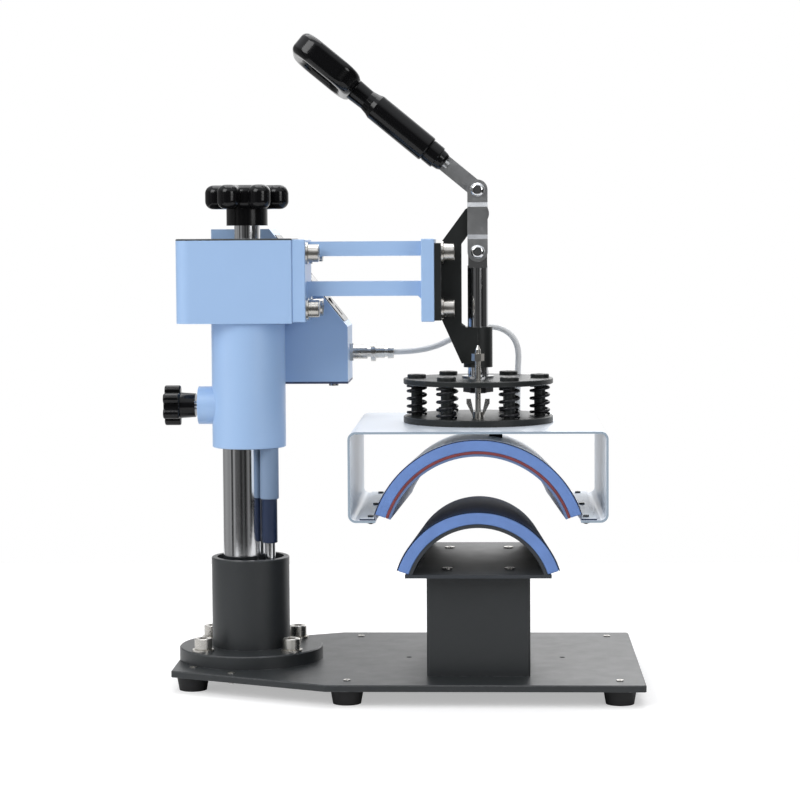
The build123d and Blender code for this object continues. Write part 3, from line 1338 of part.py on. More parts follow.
# Pedestal: folded box under the lower platen, with lips along its lower edge
pedestal_top = LOWER_PLATE_Z
with BuildPart() as pedestal:
    with BuildSketch(Plane.XY.offset(BASE_TOP)):
        with Locations((PRESS_X, 0)):
            Rectangle(PEDESTAL_WIDTH, PEDESTAL_DEPTH)
    extrude(amount=pedestal_top - BASE_TOP)
    fillet(pedestal.edges().filter_by(Axis.Z), 3)
    with BuildSketch(Plane.XY.offset(BASE_TOP + SHEET)):
        with Locations((PRESS_X, 0)):
            Rectangle(PEDESTAL_WIDTH - 2 * SHEET, PEDESTAL_DEPTH - 2 * SHEET)
    extrude(amount=pedestal_top - BASE_TOP - 2 * SHEET, mode=Mode.SUBTRACT)
    with BuildSketch(Plane.XY.offset(BASE_TOP)):
        with Locations((PRESS_X, 0)):
            Rectangle(PEDESTAL_WIDTH - 2 * PEDESTAL_LIP, PEDESTAL_DEPTH - 2 * SHEET)
    extrude(amount=SHEET, mode=Mode.SUBTRACT)
    with BuildSketch(Plane.XY.offset(BASE_TOP)):
        with Locations(*pedestal_bolts_at):
            Circle(M5_R + RUN_FIT)
    extrude(amount=SHEET, mode=Mode.SUBTRACT)
    with BuildSketch(Plane.XY.offset(pedestal_top)):
        with Locations(*platen_screws_at):
            Circle(M5_R + RUN_FIT)
    extrude(amount=-SHEET, mode=Mode.SUBTRACT)
save(pedestal.part, "pedestal")

under_base = Plane.XY.offset(FOOT_HEIGHT).rotated((180, 0, 0))
m5_low = (M5_KEY, M5_R, M5_HEAD_R, LOW_HEAD_H)
m5_flush = (M5_KEY, M5_R, M5_HEAD_R, FLUSH_HEAD_H)
pedestal_screws = cap_screws(
    under_base,
    [(x, -y) for x, y in pedestal_bolts_at],
    BASE_T + SHEET + M5_NUT_H + M5_OVER,
    *m5_low,
)
platen_screws = cap_screws(
    Plane.XY.offset(LOWER_PLATE_Z + LOWER_PLATE_T),
    platen_screws_at,
    LOWER_PLATE_T + SHEET + M5_NUT_H + M5_OVER,
    *m5_flush,
)
pedestal_nut_places = (
    (BASE_TOP + SHEET, pedestal_bolts_at),
    (pedestal_top - SHEET - M5_NUT_H, platen_screws_at),
)
pedestal_nut_sets = [
    hex_nuts(Plane.XY.offset(z), points, M5_NUT_FLATS, M5_R + SEAT_FIT, M5_NUT_H)
    for z, points in pedestal_nut_places
]
save(together(pedestal_screws, platen_screws, *pedestal_nut_sets), "pedestal_screws")

# Lower platen: steel arch welded on a tapered floor plate
floor_top = LOWER_PLATE_Z + LOWER_PLATE_T
arch_layer = split(
    cone_layer(LOWER_SHEET_R - LOWER_PLATE_T, LOWER_PLATE_T, LOWER_AXIS_Z),
    bisect_by=Plane.XY.offset(floor_top - BOND_GAP),
    keep=Keep.TOP,
)
with BuildPart() as lower_platen:
    with BuildSketch(Plane.XY.offset(LOWER_PLATE_Z)):
        with BuildLine():
            Polyline(
                (PRESS_X - LOWER_PLATE_HALF, -PLATEN_DEPTH / 2),
                (PRESS_X + LOWER_PLATE_HALF, -PLATEN_DEPTH / 2),
                (PRESS_X + LOWER_PLATE_HALF - TAPER, PLATEN_DEPTH / 2),
                (PRESS_X - LOWER_PLATE_HALF + TAPER, PLATEN_DEPTH / 2),
                close=True,
            )
        make_face()
    extrude(amount=LOWER_PLATE_T)
    add(arch_layer)
    with BuildSketch(Plane.XY.offset(floor_top)):
        with Locations(*platen_screws_at):
            Circle(M5_R + RUN_FIT)
    extrude(amount=-LOWER_PLATE_T, mode=Mode.SUBTRACT)
save(lower_platen.part, "lower_platen")

pad_r = LOWER_SHEET_R + BOND_GAP
cover_inner_r = pad_r + PAD_T + BOND_GAP
lower_ends = end_planes(pad_r, LOWER_AXIS_Z, LOWER_CUT_Z)
save(cut_layer(cone_layer(pad_r, PAD_T, LOWER_AXIS_Z), lower_ends), "lower_pad")
save(cut_layer(cone_layer(cover_inner_r, COVER_T, LOWER_AXIS_Z), lower_ends), "lower_cover")

# Control box: folded sheet behind the head, open below, with a sloping panel
box_front = HEAD_HALF_DEPTH
box_back = HEAD_HALF_DEPTH + BOX_DEPTH
box_mid_y = (box_front + box_back) / 2
box_left = COLUMN_X + BOX_LEFT
box_right = COLUMN_X + BOX_RIGHT
slant_top_x = COLUMN_X + BOX_SLANT_X
slant_foot = Vector(box_right, box_mid_y, BOX_SLANT_Z)
slant_run = Vector(slant_top_x - box_right, 0, BOX_TOP - BOX_SLANT_Z)
slant_length = slant_run.length
panel_plane = Plane(
    origin=slant_foot,
    x_dir=slant_run.normalized(),
    z_dir=(BOX_TOP - BOX_SLANT_Z, 0, box_right - slant_top_x),
)
box_outline = [
    (box_left, BOX_BOTTOM + BOX_SHEET),
    (box_right, BOX_BOTTOM + BOX_SHEET),
    (box_right, BOX_SLANT_Z),
    (slant_top_x, BOX_TOP),
    (box_left, BOX_TOP),
]
ROCKER_AT = 23.0
KEYS_AT = 42.0
DISPLAY_AT = 82.0
KEY_PITCH = 13.0
CUTOUT_FIT = 0.3
ROCKER_WALL = 1.5
rocker_well = (ROCKER_WIDTH + 2 * CUTOUT_FIT, ROCKER_LENGTH + 2 * CUTOUT_FIT)
rocker_hole = tuple(side + 2 * ROCKER_WALL for side in rocker_well)
BOX_LIP = 16.0
base_screws_at = [
    (x, y)
    for x in (box_left + BASE_SCREW_LEFT, box_right - BASE_SCREW_RIGHT)
    for y in (box_front + BASE_SCREW_INSET, box_back - BASE_SCREW_INSET)
]
key_places = [(KEYS_AT, KEY_PITCH * (k - (KEY_COUNT - 1) / 2)) for k in range(KEY_COUNT)]
with BuildPart() as control_box:
    with BuildSketch(Plane.XZ.offset(-box_back)):
        with BuildLine():
            Polyline(*box_outline, close=True)
        make_face()
    extrude(amount=BOX_DEPTH)
    with BuildSketch(Plane.XZ.offset(-box_back + BOX_SHEET)):
        with BuildLine():
            Polyline(*box_outline, close=True)
        make_face()
        offset(amount=-BOX_SHEET, kind=Kind.INTERSECTION, mode=Mode.REPLACE)
    extrude(amount=BOX_DEPTH - 2 * BOX_SHEET, mode=Mode.SUBTRACT)
    with BuildSketch(Plane.XY.offset(BOX_BOTTOM + BOX_SHEET)):
        with Locations(((box_left + box_right) / 2, box_mid_y)):
            Rectangle(BOX_RIGHT - BOX_LEFT - 2 * BOX_LIP, BOX_DEPTH - 2 * BOX_LIP)
        with Locations(*base_screws_at):
            Circle(M5_R + RUN_FIT)
    extrude(amount=BOX_SHEET, mode=Mode.SUBTRACT)
    with BuildSketch(panel_plane):
        with Locations((ROCKER_AT, 0)):
            Rectangle(*rocker_hole)
        with Locations(*key_places):
            Circle(KEY_R + RUN_FIT)
        with Locations((DISPLAY_AT, 0)):
            Rectangle(DISPLAY_LENGTH - 8, DISPLAY_WIDTH - 8)
    extrude(amount=-BOX_SHEET - 0.5, mode=Mode.SUBTRACT)
    with BuildSketch(Plane.YZ.offset(box_right)):
        with Locations((CONNECTOR_Y, CONNECTOR_Z)):
            Circle(CONNECTOR_BODY_R + RUN_FIT)
    extrude(amount=-BOX_SHEET, mode=Mode.SUBTRACT)
    with BuildSketch(Plane.XZ.offset(-box_front)):
        with Locations(*box_screws_at):
            Circle(M5_R + RUN_FIT)
    extrude(amount=-BOX_SHEET, mode=Mode.SUBTRACT)
    with BuildSketch(Plane.XZ.offset(-box_back)):
        with Locations((COLUMN_X, INLET_Z)):
            Rectangle(INLET_WIDTH, INLET_HEIGHT)
    extrude(amount=BOX_SHEET, mode=Mode.SUBTRACT)
save(control_box.part, "control_box")

with BuildPart() as box_base:
    with BuildSketch(Plane.XY.offset(BOX_BOTTOM)):
        with Locations(((box_left + box_right) / 2, box_mid_y)):
            Rectangle(BOX_RIGHT - BOX_LEFT, BOX_DEPTH)
        with Locations(*base_screws_at):
            Circle(M5_R + RUN_FIT, mode=Mode.SUBTRACT)
    extrude(amount=BOX_SHEET)
save(box_base.part, "box_base")

# Screws of the control box: four under its base, two into the head box
under_box = Plane.XY.offset(BOX_BOTTOM).rotated((180, 0, 0))
m5_plain = (M5_KEY, M5_R, M5_HEAD_R, M5_HEAD_H)
base_screw_points = [(x, -y) for x, y in base_screws_at]
base_screw_set = cap_screws(under_box, base_screw_points, 2 * BOX_SHEET + M5_NUT_H + M5_OVER, *m5_plain)
base_nut_set = hex_nuts(
    Plane.XY.offset(BOX_BOTTOM + 2 * BOX_SHEET), base_screws_at, M5_NUT_FLATS, M5_R + SEAT_FIT, M5_NUT_H
)
wall_plane = Plane(origin=(0, box_front + BOX_SHEET, 0), x_dir=(1, 0, 0), z_dir=(0, 1, 0))
wall_points = [(x, -z) for x, z in box_screws_at]
wall_screw_set = cap_screws(wall_plane, wall_points, BOX_SHEET + SHEET + M5_NUT_H + M5_OVER, *m5_plain)
wall_nut_set = hex_nuts(
    wall_plane.offset(-BOX_SHEET - SHEET - M5_NUT_H), wall_points, M5_NUT_FLATS, M5_R + SEAT_FIT, M5_NUT_H
)
save(together(base_screw_set, base_nut_set, wall_screw_set, wall_nut_set), "box_screws")

# Control panel: one moulding with the keys' holes, the display's opening and the rocker's well
PANEL_T = 0.8
PANEL_EDGE = 0.3
PANEL_LENGTH = 104.0
PANEL_WIDTH = 62.0
ROCKER_AXIS = -2.2
WELL_DEPTH = 13.0
ROCKER_PIN_R = 1.2
with BuildPart() as control_panel:
    with BuildSketch(panel_plane):
        with Locations((PANEL_LENGTH / 2 + 6, 0)):
            RectangleRounded(PANEL_LENGTH, PANEL_WIDTH, 4)
    extrude(amount=PANEL_T)
    panel_faces = control_panel.faces().sort_by(Axis(panel_plane.origin, panel_plane.z_dir))
    chamfer(panel_faces[-1].edges(), PANEL_EDGE)
    with BuildSketch(panel_plane):
        with Locations((ROCKER_AT, 0)):
            Rectangle(rocker_hole[0] - 2 * SEAT_FIT, rocker_hole[1] - 2 * SEAT_FIT)
    extrude(amount=-WELL_DEPTH)
    with BuildSketch(panel_plane.offset(PANEL_T)):
        with Locations((ROCKER_AT, 0)):
            Rectangle(*rocker_well)
    extrude(amount=-PANEL_T - WELL_DEPTH + ROCKER_WALL, mode=Mode.SUBTRACT)
    with BuildSketch(panel_plane):
        with Locations(*key_places):
            Circle(KEY_R + RUN_FIT)
        with Locations((DISPLAY_AT, 0)):
            Rectangle(DISPLAY_LENGTH, DISPLAY_WIDTH)
    extrude(amount=PANEL_T, mode=Mode.SUBTRACT)
    rocker_pin_plane = Plane(
        origin=panel_plane.origin + panel_plane.x_dir * ROCKER_AT + panel_plane.z_dir * ROCKER_AXIS,
        x_dir=panel_plane.x_dir,
        z_dir=(0, 1, 0),
    )
    with BuildSketch(rocker_pin_plane):
        Circle(ROCKER_PIN_R + RUN_FIT)
    extrude(amount=rocker_hole[1], both=True, mode=Mode.SUBTRACT)
save(control_panel.part, "control_panel")

# Display: a window seated in the panel, with its module behind the box's opening
with BuildPart() as display:
    with BuildSketch(panel_plane):
        with Locations((DISPLAY_AT, 0)):
            Rectangle(DISPLAY_LENGTH - 2 * SEAT_FIT, DISPLAY_WIDTH - 2 * SEAT_FIT)
    extrude(amount=PANEL_T - 0.3)
    with BuildSketch(panel_plane):
        with Locations((DISPLAY_AT, 0)):
            Rectangle(DISPLAY_LENGTH - 9, DISPLAY_WIDTH - 9)
    extrude(amount=-BOX_SHEET - 5)
save(display.part, "display")

# Keys: each slides through the panel and the wall, held in by its flange
KEY_PROUD = 0.5
KEY_FLANGE = 1.2
KEY_FLANGE_T = 1.2
for number, place in enumerate(key_places, start=1):
    with BuildPart() as key:
        with BuildSketch(panel_plane.offset(-BOX_SHEET)):
            with Locations(place):
                Circle(KEY_R)
        extrude(amount=BOX_SHEET + PANEL_T + KEY_PROUD)
        chamfer(key.faces().sort_by(Axis(panel_plane.origin, panel_plane.z_dir))[-1].edges(), PANEL_EDGE)
        with BuildSketch(panel_plane.offset(-BOX_SHEET)):
            with Locations(place):
                Circle(KEY_R + KEY_FLANGE)
        extrude(amount=-KEY_FLANGE_T)
    save(key.part, "key_" + str(number))

# Rocker switch, modelled lying on its off side
ROCKER_LEAN = 6.0
rocker_r = ROCKER_WIDTH / 2
with BuildPart() as rocker:
    with BuildSketch(rocker_pin_plane):
        Circle(rocker_r)
        with BuildLine():
            Polyline(
                (-rocker_r, 2.6 + rocker_r * tan(radians(ROCKER_LEAN))),
                (0, 2.6),
                (rocker_r, 2.6 + rocker_r * tan(radians(ROCKER_LEAN))),
                (rocker_r, 2 * rocker_r),
                (-rocker_r, 2 * rocker_r),
                close=True,
            )
        make_face(mode=Mode.SUBTRACT)
        with Locations((0, -7 - rocker_r)):
            Rectangle(4 * rocker_r, 2 * rocker_r, mode=Mode.SUBTRACT)
    extrude(amount=ROCKER_LENGTH / 2, both=True)
    with BuildSketch(rocker_pin_plane):
        Circle(ROCKER_PIN_R)
    extrude(amount=ROCKER_LENGTH / 2 + CUTOUT_FIT + ROCKER_WALL - 0.3, both=True)
rocker_axis = Axis(rocker_pin_plane.origin, rocker_pin_plane.z_dir)
save(rocker.part.rotate(rocker_axis, ROCKER_LEAN), "rocker")

# Control board: on four posts behind the panel, with a transformer and a relay on it
BOARD_DEPTH = 12.0
BOARD_T = 1.6
BOARD_FROM = 37.0
BOARD_TO = 112.0
BOARD_WIDTH = 60.0
BOARD_INSET = 4.0
POST_R = 2.5
PARTS_HEIGHT = 14.0
TRANSFORMER = (26.0, 30.0)
TRANSFORMER_AT = (-20.0, -8.0)
RELAY = (18.0, 14.0)
RELAY_AT = (12.0, 12.0)
board_posts_at = [
    (s, side * (BOARD_WIDTH / 2 - BOARD_INSET))
    for s in (BOARD_FROM + BOARD_INSET, BOARD_TO - BOARD_INSET)
    for side in (-1, 1)
]
board_mid = (BOARD_FROM + BOARD_TO) / 2
with BuildPart() as control_board:
    with BuildSketch(panel_plane.offset(-BOARD_DEPTH)):
        with Locations((board_mid, 0)):
            Rectangle(BOARD_TO - BOARD_FROM, BOARD_WIDTH)
    extrude(amount=-BOARD_T)
    with BuildSketch(panel_plane.offset(-BOX_SHEET)):
        with Locations(*board_posts_at):
            Circle(POST_R)
    extrude(amount=BOX_SHEET - BOARD_DEPTH)
    with BuildSketch(panel_plane.offset(-BOARD_DEPTH - BOARD_T)):
        with Locations((board_mid + TRANSFORMER_AT[0], TRANSFORMER_AT[1])):
            Rectangle(*TRANSFORMER)
        with Locations((board_mid + RELAY_AT[0], RELAY_AT[1])):
            Rectangle(*RELAY)
    extrude(amount=-PARTS_HEIGHT)
save(control_board.part, "control_board")

# Power inlet: a three-pin socket in the control box's back
INLET_AT = (COLUMN_X, INLET_Z)
INLET_RIM = 4.0
INLET_RIM_T = 2.0
INLET_BODY = 20.0
INLET_FLOOR = 4.0
INLET_WALL = 2.5
INLET_PIN_DX = 7.0
INLET_PIN_DZ = 2.0
INLET_PIN_L = 10.0
inlet_plane = Plane(origin=(0, box_back, 0), x_dir=(-1, 0, 0), z_dir=(0, 1, 0))
inlet_pins = [(k * INLET_PIN_DX - INLET_AT[0], INLET_AT[1] - k * k * INLET_PIN_DZ) for k in (-1, 0, 1)]
with BuildPart() as power_inlet:
    with BuildSketch(inlet_plane):
        with Locations((-INLET_AT[0], INLET_AT[1])):
            RectangleRounded(INLET_WIDTH + 2 * INLET_RIM, INLET_HEIGHT + 2 * INLET_RIM, INLET_RIM)
    extrude(amount=INLET_RIM_T)
    with BuildSketch(inlet_plane):
        with Locations((-INLET_AT[0], INLET_AT[1])):
            Rectangle(INLET_WIDTH - 2 * RUN_FIT, INLET_HEIGHT - 2 * RUN_FIT)
    extrude(amount=-INLET_BODY)
    with BuildSketch(inlet_plane.offset(INLET_RIM_T)):
        with Locations((-INLET_AT[0], INLET_AT[1])):
            RectangleRounded(INLET_WIDTH - 2 * INLET_WALL, INLET_HEIGHT - 2 * INLET_WALL, INLET_WALL)
    extrude(amount=INLET_FLOOR - INLET_BODY - INLET_RIM_T, mode=Mode.SUBTRACT)
    with BuildSketch(inlet_plane.offset(INLET_FLOOR - INLET_BODY)):
        with Locations(*inlet_pins):
            Rectangle(INLET_RIM_T, 2 * INLET_RIM_T)
    extrude(amount=INLET_PIN_L)
save(power_inlet.part, "power_inlet")

# Cable connector on the box's right face
connector_axis = Axis((box_right, CONNECTOR_Y, CONNECTOR_Z), (1, 0, 0))
CONNECTOR_BORE_R = 2.0
steps = [
    (-BOX_SHEET - 6, -BOX_SHEET, 8.0),
    (-BOX_SHEET, 0.0, CONNECTOR_BODY_R),
    (0.0, CONNECTOR_NUT_T, CONNECTOR_NUT_R),
    (CONNECTOR_NUT_T, 16.5, 6.7),
    (16.5, 20.0, 5.0),
    (20.0, 24.5, 9.0),
    (24.5, 33.0, CONNECTOR_BODY_R),
    (33.0, 36.0, 4.8),
    (36.0, 41.6, 6.3),
]
profile = [(box_right + steps[0][0], CONNECTOR_BORE_R)]
for start, end, r in steps:
    profile.append((box_right + start, r))
    profile.append((box_right + end, r))
profile.append((box_right + steps[-1][1], CONNECTOR_BORE_R))
with BuildPart() as connector:
    with BuildSketch(Plane(origin=(0, CONNECTOR_Y, CONNECTOR_Z), x_dir=(1, 0, 0), z_dir=(0, 0, 1))):
        with BuildLine():
            Polyline(*profile, close=True)
        make_face()
    revolve(axis=connector_axis)
    with BuildSketch(Plane.YZ.offset(box_right)):
        with Locations((CONNECTOR_Y, CONNECTOR_Z)):
            RegularPolygon(CONNECTOR_NUT_R, 6, major_radius=False)
    extrude(amount=CONNECTOR_NUT_T)
save(connector.part, "connector")

# Cable: straight runs joined by tangent arcs, from the connector to the bracket
cable_end_x = PRESS_X + CABLE_DX
cable_start_x = box_right + steps[-1][1] + PASS_GAP
cable_route = [
    (cable_start_x, CONNECTOR_Z),
    (cable_end_x - 87, CONNECTOR_Z),
    (cable_end_x - 53, CONNECTOR_Z + 17),
    (cable_end_x - 21, CONNECTOR_Z + 26.5),
    (cable_end_x + 2, CONNECTOR_Z + 10.5),
    (cable_end_x, CONNECTOR_Z - 26.5),
    (cable_end_x, bracket_under - 8),
]
legs = [Vector(*b) - Vector(*a) for a, b in zip(cable_route, cable_route[1:])]
cable_pieces = []
bends = []
last = Vector(*cable_route[0])
for k in range(1, len(cable_route) - 1):
    before = legs[k - 1].normalized()
    after = legs[k].normalized()
    turn = before.get_angle(after)
    bend = 0.45 * min(legs[k - 1].length, legs[k].length) / tan(radians(turn / 2))
    set_back = bend * tan(radians(turn / 2))
    corner = Vector(*cable_route[k])
    begin = corner - before * set_back
    finish = corner + after * set_back
    to_centre = (after - before).normalized()
    middle = corner + to_centre * (bend / cos(radians(turn / 2)) - bend)
    cable_pieces.append(("line", last, begin))
    cable_pieces.append(("arc", begin, middle, finish))
    bends.append(bend)
    last = finish
cable_pieces.append(("line", last, Vector(*cable_route[-1])))
with BuildPart() as cable:
    with BuildLine() as route:
        for kind, *points in cable_pieces:
            placed = [(point.X, CONNECTOR_Y, point.Y) for point in points]
            if kind == "line":
                Line(*placed)
            else:
                ThreePointArc(*placed)
    with BuildSketch(Plane(origin=route.wire() @ 0, z_dir=route.wire() % 0)):
        Circle(CABLE_R)
    sweep(path=route.wire())
save(cable.part, "cable")
cable_length = route.wire().length
cable_section = pi * CABLE_R**2
print("cable length", round(cable_length, 1), "bend radii", [round(b, 1) for b in bends])
print("cable volume over section times length", round(cable.part.volume / cable_section / cable_length, 4))

# Grommet: holds the cable in the bracket
GROMMET_NECK_R = GROMMET_R - 1
GROMMET_HEIGHT = 4.0
GROMMET_FOOT = 2.0
with BuildPart() as grommet:
    with BuildSketch(Plane.XY.offset(bracket_top)):
        with Locations((cable_end_x, CONNECTOR_Y)):
            Circle(GROMMET_R)
    extrude(amount=GROMMET_HEIGHT)
    chamfer(grommet.faces().sort_by(Axis.Z)[-1].edges(), GROMMET_R - GROMMET_NECK_R)
    with BuildSketch(Plane.XY.offset(bracket_top)):
        with Locations((cable_end_x, CONNECTOR_Y)):
            Circle(GROMMET_NECK_R - SEAT_FIT)
    extrude(amount=-BRACKET_T)
    with BuildSketch(Plane.XY.offset(bracket_under)):
        with Locations((cable_end_x, CONNECTOR_Y)):
            Circle(GROMMET_R)
    extrude(amount=-GROMMET_FOOT)
    with BuildSketch(Plane.XY.offset(bracket_under - GROMMET_FOOT)):
        with Locations((cable_end_x, CONNECTOR_Y)):
            Circle(CABLE_R + SEAT_FIT)
    extrude(amount=BRACKET_T + GROMMET_FOOT + GROMMET_HEIGHT, mode=Mode.SUBTRACT)
save(grommet.part, "grommet")

# Terminal block: sits on the outer shell under the bracket
BLOCK_AT = (PRESS_X + 16, 4.0)
BLOCK_SIZE = (12.0, 16.0)
BLOCK_UNDER = 5.0
BLOCK_HEIGHT = 14.0
with BuildPart() as terminal_block:
    with BuildSketch(Plane.XY.offset(bracket_under - BLOCK_UNDER)):
        with Locations(BLOCK_AT):
            Rectangle(*BLOCK_SIZE)
    extrude(amount=-BLOCK_HEIGHT)
clear_of_shell = cone_layer(LOWER_SHEET_R, shell_out + BOND_GAP - LOWER_SHEET_R, upper_axis_z)
save(terminal_block.part - clear_of_shell, "terminal_block")
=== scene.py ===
# %% [markdown]
# # Shin guard heat press
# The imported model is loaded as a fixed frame, in metres, with +X from the column to the press axis,
# +Y away from the operator and +Z up. Its pieces never move here: this lesson gives them their
# finishes, swaps the soft ones for modelled ones, and sets up the picture.

# %% Load the frame
import json
from math import asin, cos, pi, radians, sin

import bmesh
import bpy
from mathutils import Matrix, Vector, noise


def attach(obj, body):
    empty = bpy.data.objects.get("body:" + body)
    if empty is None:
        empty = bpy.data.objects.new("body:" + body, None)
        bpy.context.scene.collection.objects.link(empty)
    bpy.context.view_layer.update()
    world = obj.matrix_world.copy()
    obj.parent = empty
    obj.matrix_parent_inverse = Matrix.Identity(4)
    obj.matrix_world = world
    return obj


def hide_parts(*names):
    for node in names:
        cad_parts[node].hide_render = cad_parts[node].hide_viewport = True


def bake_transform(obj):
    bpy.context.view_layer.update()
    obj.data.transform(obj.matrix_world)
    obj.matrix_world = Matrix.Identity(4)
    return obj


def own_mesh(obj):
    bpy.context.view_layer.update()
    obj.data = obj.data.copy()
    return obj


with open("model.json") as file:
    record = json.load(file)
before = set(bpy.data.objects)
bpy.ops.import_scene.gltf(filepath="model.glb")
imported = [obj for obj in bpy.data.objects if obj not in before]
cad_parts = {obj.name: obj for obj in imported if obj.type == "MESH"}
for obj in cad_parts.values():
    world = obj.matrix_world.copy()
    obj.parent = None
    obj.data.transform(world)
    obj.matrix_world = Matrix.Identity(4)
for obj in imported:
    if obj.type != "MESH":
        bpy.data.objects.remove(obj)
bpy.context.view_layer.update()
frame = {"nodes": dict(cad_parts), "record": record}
MM = 0.001

# %% [markdown]
# ## Camera
# Product pictures of a machine like this are taken from a few metres away with a long lens, so that
# the column and the arm stay straight. The distance decides how the base plate's far edge shrinks
# against its near edge, so the place is found first and the lens after it. The camera stands above
# the middle of the machine, is turned by two degrees, looks four degrees down and is rolled by a
# third of a degree.

# %% Camera
FOCAL_PX = 2281.0
IMAGE_PX = 800.0
CAMERA_AT = Vector((0.083, -2.098, 0.4065))
YAW, PITCH, ROLL = 2.27, 4.0, -0.35
camera_data = bpy.data.cameras.new("camera")
camera_data.sensor_width = 36.0
camera_data.lens = FOCAL_PX / IMAGE_PX * camera_data.sensor_width
camera_data.clip_start = 0.05
camera = bpy.data.objects.new("camera", camera_data)
bpy.context.scene.collection.objects.link(camera)
camera.matrix_world = (
    Matrix.Translation(CAMERA_AT)
    @ Matrix.Rotation(radians(YAW), 4, "Z")
    @ Matrix.Rotation(radians(90 - PITCH), 4, "X")
    @ Matrix.Rotation(radians(ROLL), 4, "Z")
)
bpy.context.scene.camera = camera
bpy.context.scene.view_settings.view_transform = "Standard"
print("lens", round(camera_data.lens, 1), "mm")

# %% [markdown]
# ## Helpers for shader nodes
# A procedural material is a small tree of nodes. Three helpers keep the trees short: one starts a
# shared group, one adds a Math node, and one adds noise in the object's own space. Object space is
# chosen because the pattern then stays on a piece when the machine moves.


# %% Helpers for shader nodes
def start_group(name, inputs, outputs):
    """A shader node group with float or colour sockets, and its two end nodes."""
    group = bpy.data.node_groups.new(name, "ShaderNodeTree")
    for label, kind, value in inputs:
        socket = group.interface.new_socket(name=label, in_out="INPUT", socket_type="NodeSocket" + kind)
        socket.default_value = value
    for label, kind in outputs:
        group.interface.new_socket(name=label, in_out="OUTPUT", socket_type="NodeSocket" + kind)
    return group, group.nodes.new("NodeGroupInput"), group.nodes.new("NodeGroupOutput")


def maths(tree, operation, a, b=None, clamp=False):
    """A Math node whose inputs are sockets or numbers, and its output socket."""
    node = tree.nodes.new("ShaderNodeMath")
    node.operation = operation
    node.use_clamp = clamp
    for slot, value in ((0, a), (1, b)):
        if value is None:
            continue
        if isinstance(value, (int, float)):
            node.inputs[slot].default_value = value
        else:
            tree.links.new(value, node.inputs[slot])
    return node.outputs[0]


def noise_at(tree, scale, detail=3.0, stretch=None, rough=0.55):
    """Noise in object space. Scale is a number or a socket, stretch multiplies each axis."""
    where = tree.nodes.new("ShaderNodeTexCoord").outputs["Object"]
    if stretch:
        mapping = tree.nodes.new("ShaderNodeMapping")
        mapping.inputs["Scale"].default_value = stretch
        tree.links.new(where, mapping.inputs["Vector"])
        where = mapping.outputs["Vector"]
    node = tree.nodes.new("ShaderNodeTexNoise")
    tree.links.new(where, node.inputs["Vector"])
    node.inputs["Detail"].default_value = detail
    node.inputs["Roughness"].default_value = rough
    if isinstance(scale, (int, float)):
        node.inputs["Scale"].default_value = scale
    else:
        tree.links.new(scale, node.inputs["Scale"])
    return node.outputs["Fac"]


print("helpers", start_group.__name__, maths.__name__, noise_at.__name__)

# %% [markdown]
# ## Tone and gloss
# No paint or metal is quite even: the colour drifts a little over a hand's width, and the gloss
# changes where hands and cloths have been. Both could be painted maps, but noise needs no unwrapping
# and works at every size. The groups give out only a colour and a value, and the shader itself stays
# in each material.

# %% Tone and gloss
tone, given, result = start_group(
    "tone",
    [("Color", "Color", (1, 1, 1, 1)), ("Scale", "Float", 20.0), ("Amount", "Float", 0.1)],
    [("Color", "Color")],
)
patch = noise_at(tone, given.outputs["Scale"])
change = maths(tone, "MULTIPLY", maths(tone, "SUBTRACT", patch, 0.5), given.outputs["Amount"])
factor = maths(tone, "ADD", maths(tone, "MULTIPLY", change, 2.0), 1.0)
scaled = tone.nodes.new("ShaderNodeVectorMath")
scaled.operation = "SCALE"
tone.links.new(given.outputs["Color"], scaled.inputs[0])
tone.links.new(factor, scaled.inputs["Scale"])
tone.links.new(scaled.outputs[0], result.inputs["Color"])

handled, given, result = start_group(
    "handled",
    [("Value", "Float", 0.4), ("Amount", "Float", 0.08), ("Scale", "Float", 45.0)],
    [("Value", "Float")],
)
patch = noise_at(handled, given.outputs["Scale"], 5.0, rough=0.65)
change = maths(handled, "MULTIPLY", maths(handled, "SUBTRACT", patch, 0.5), given.outputs["Amount"])
handled.links.new(
    maths(handled, "ADD", given.outputs["Value"], maths(handled, "MULTIPLY", change, 2.0), clamp=True),
    result.inputs["Value"],
)
print("groups", tone.name, handled.name)

# %% [markdown]
# ## Relief
# Powder coat has a fine orange skin, rubber is slightly grainy, and drawn steel is nearly smooth. A
# bump is enough, because none of it is deep enough to change an outline. The height is given in
# metres, so that the same group serves a coat of 0.03 mm and a foam of 0.25 mm.

# %% Relief
relief, given, result = start_group(
    "relief",
    [("Scale", "Float", 900.0), ("Height", "Float", 0.00005), ("Strength", "Float", 1.0)],
    [("Normal", "Vector")],
)
bump = relief.nodes.new("ShaderNodeBump")
relief.links.new(noise_at(relief, given.outputs["Scale"], detail=2.0), bump.inputs["Height"])
relief.links.new(given.outputs["Height"], bump.inputs["Distance"])
relief.links.new(given.outputs["Strength"], bump.inputs["Strength"])
relief.links.new(bump.outputs["Normal"], result.inputs["Normal"])
print("group", relief.name)
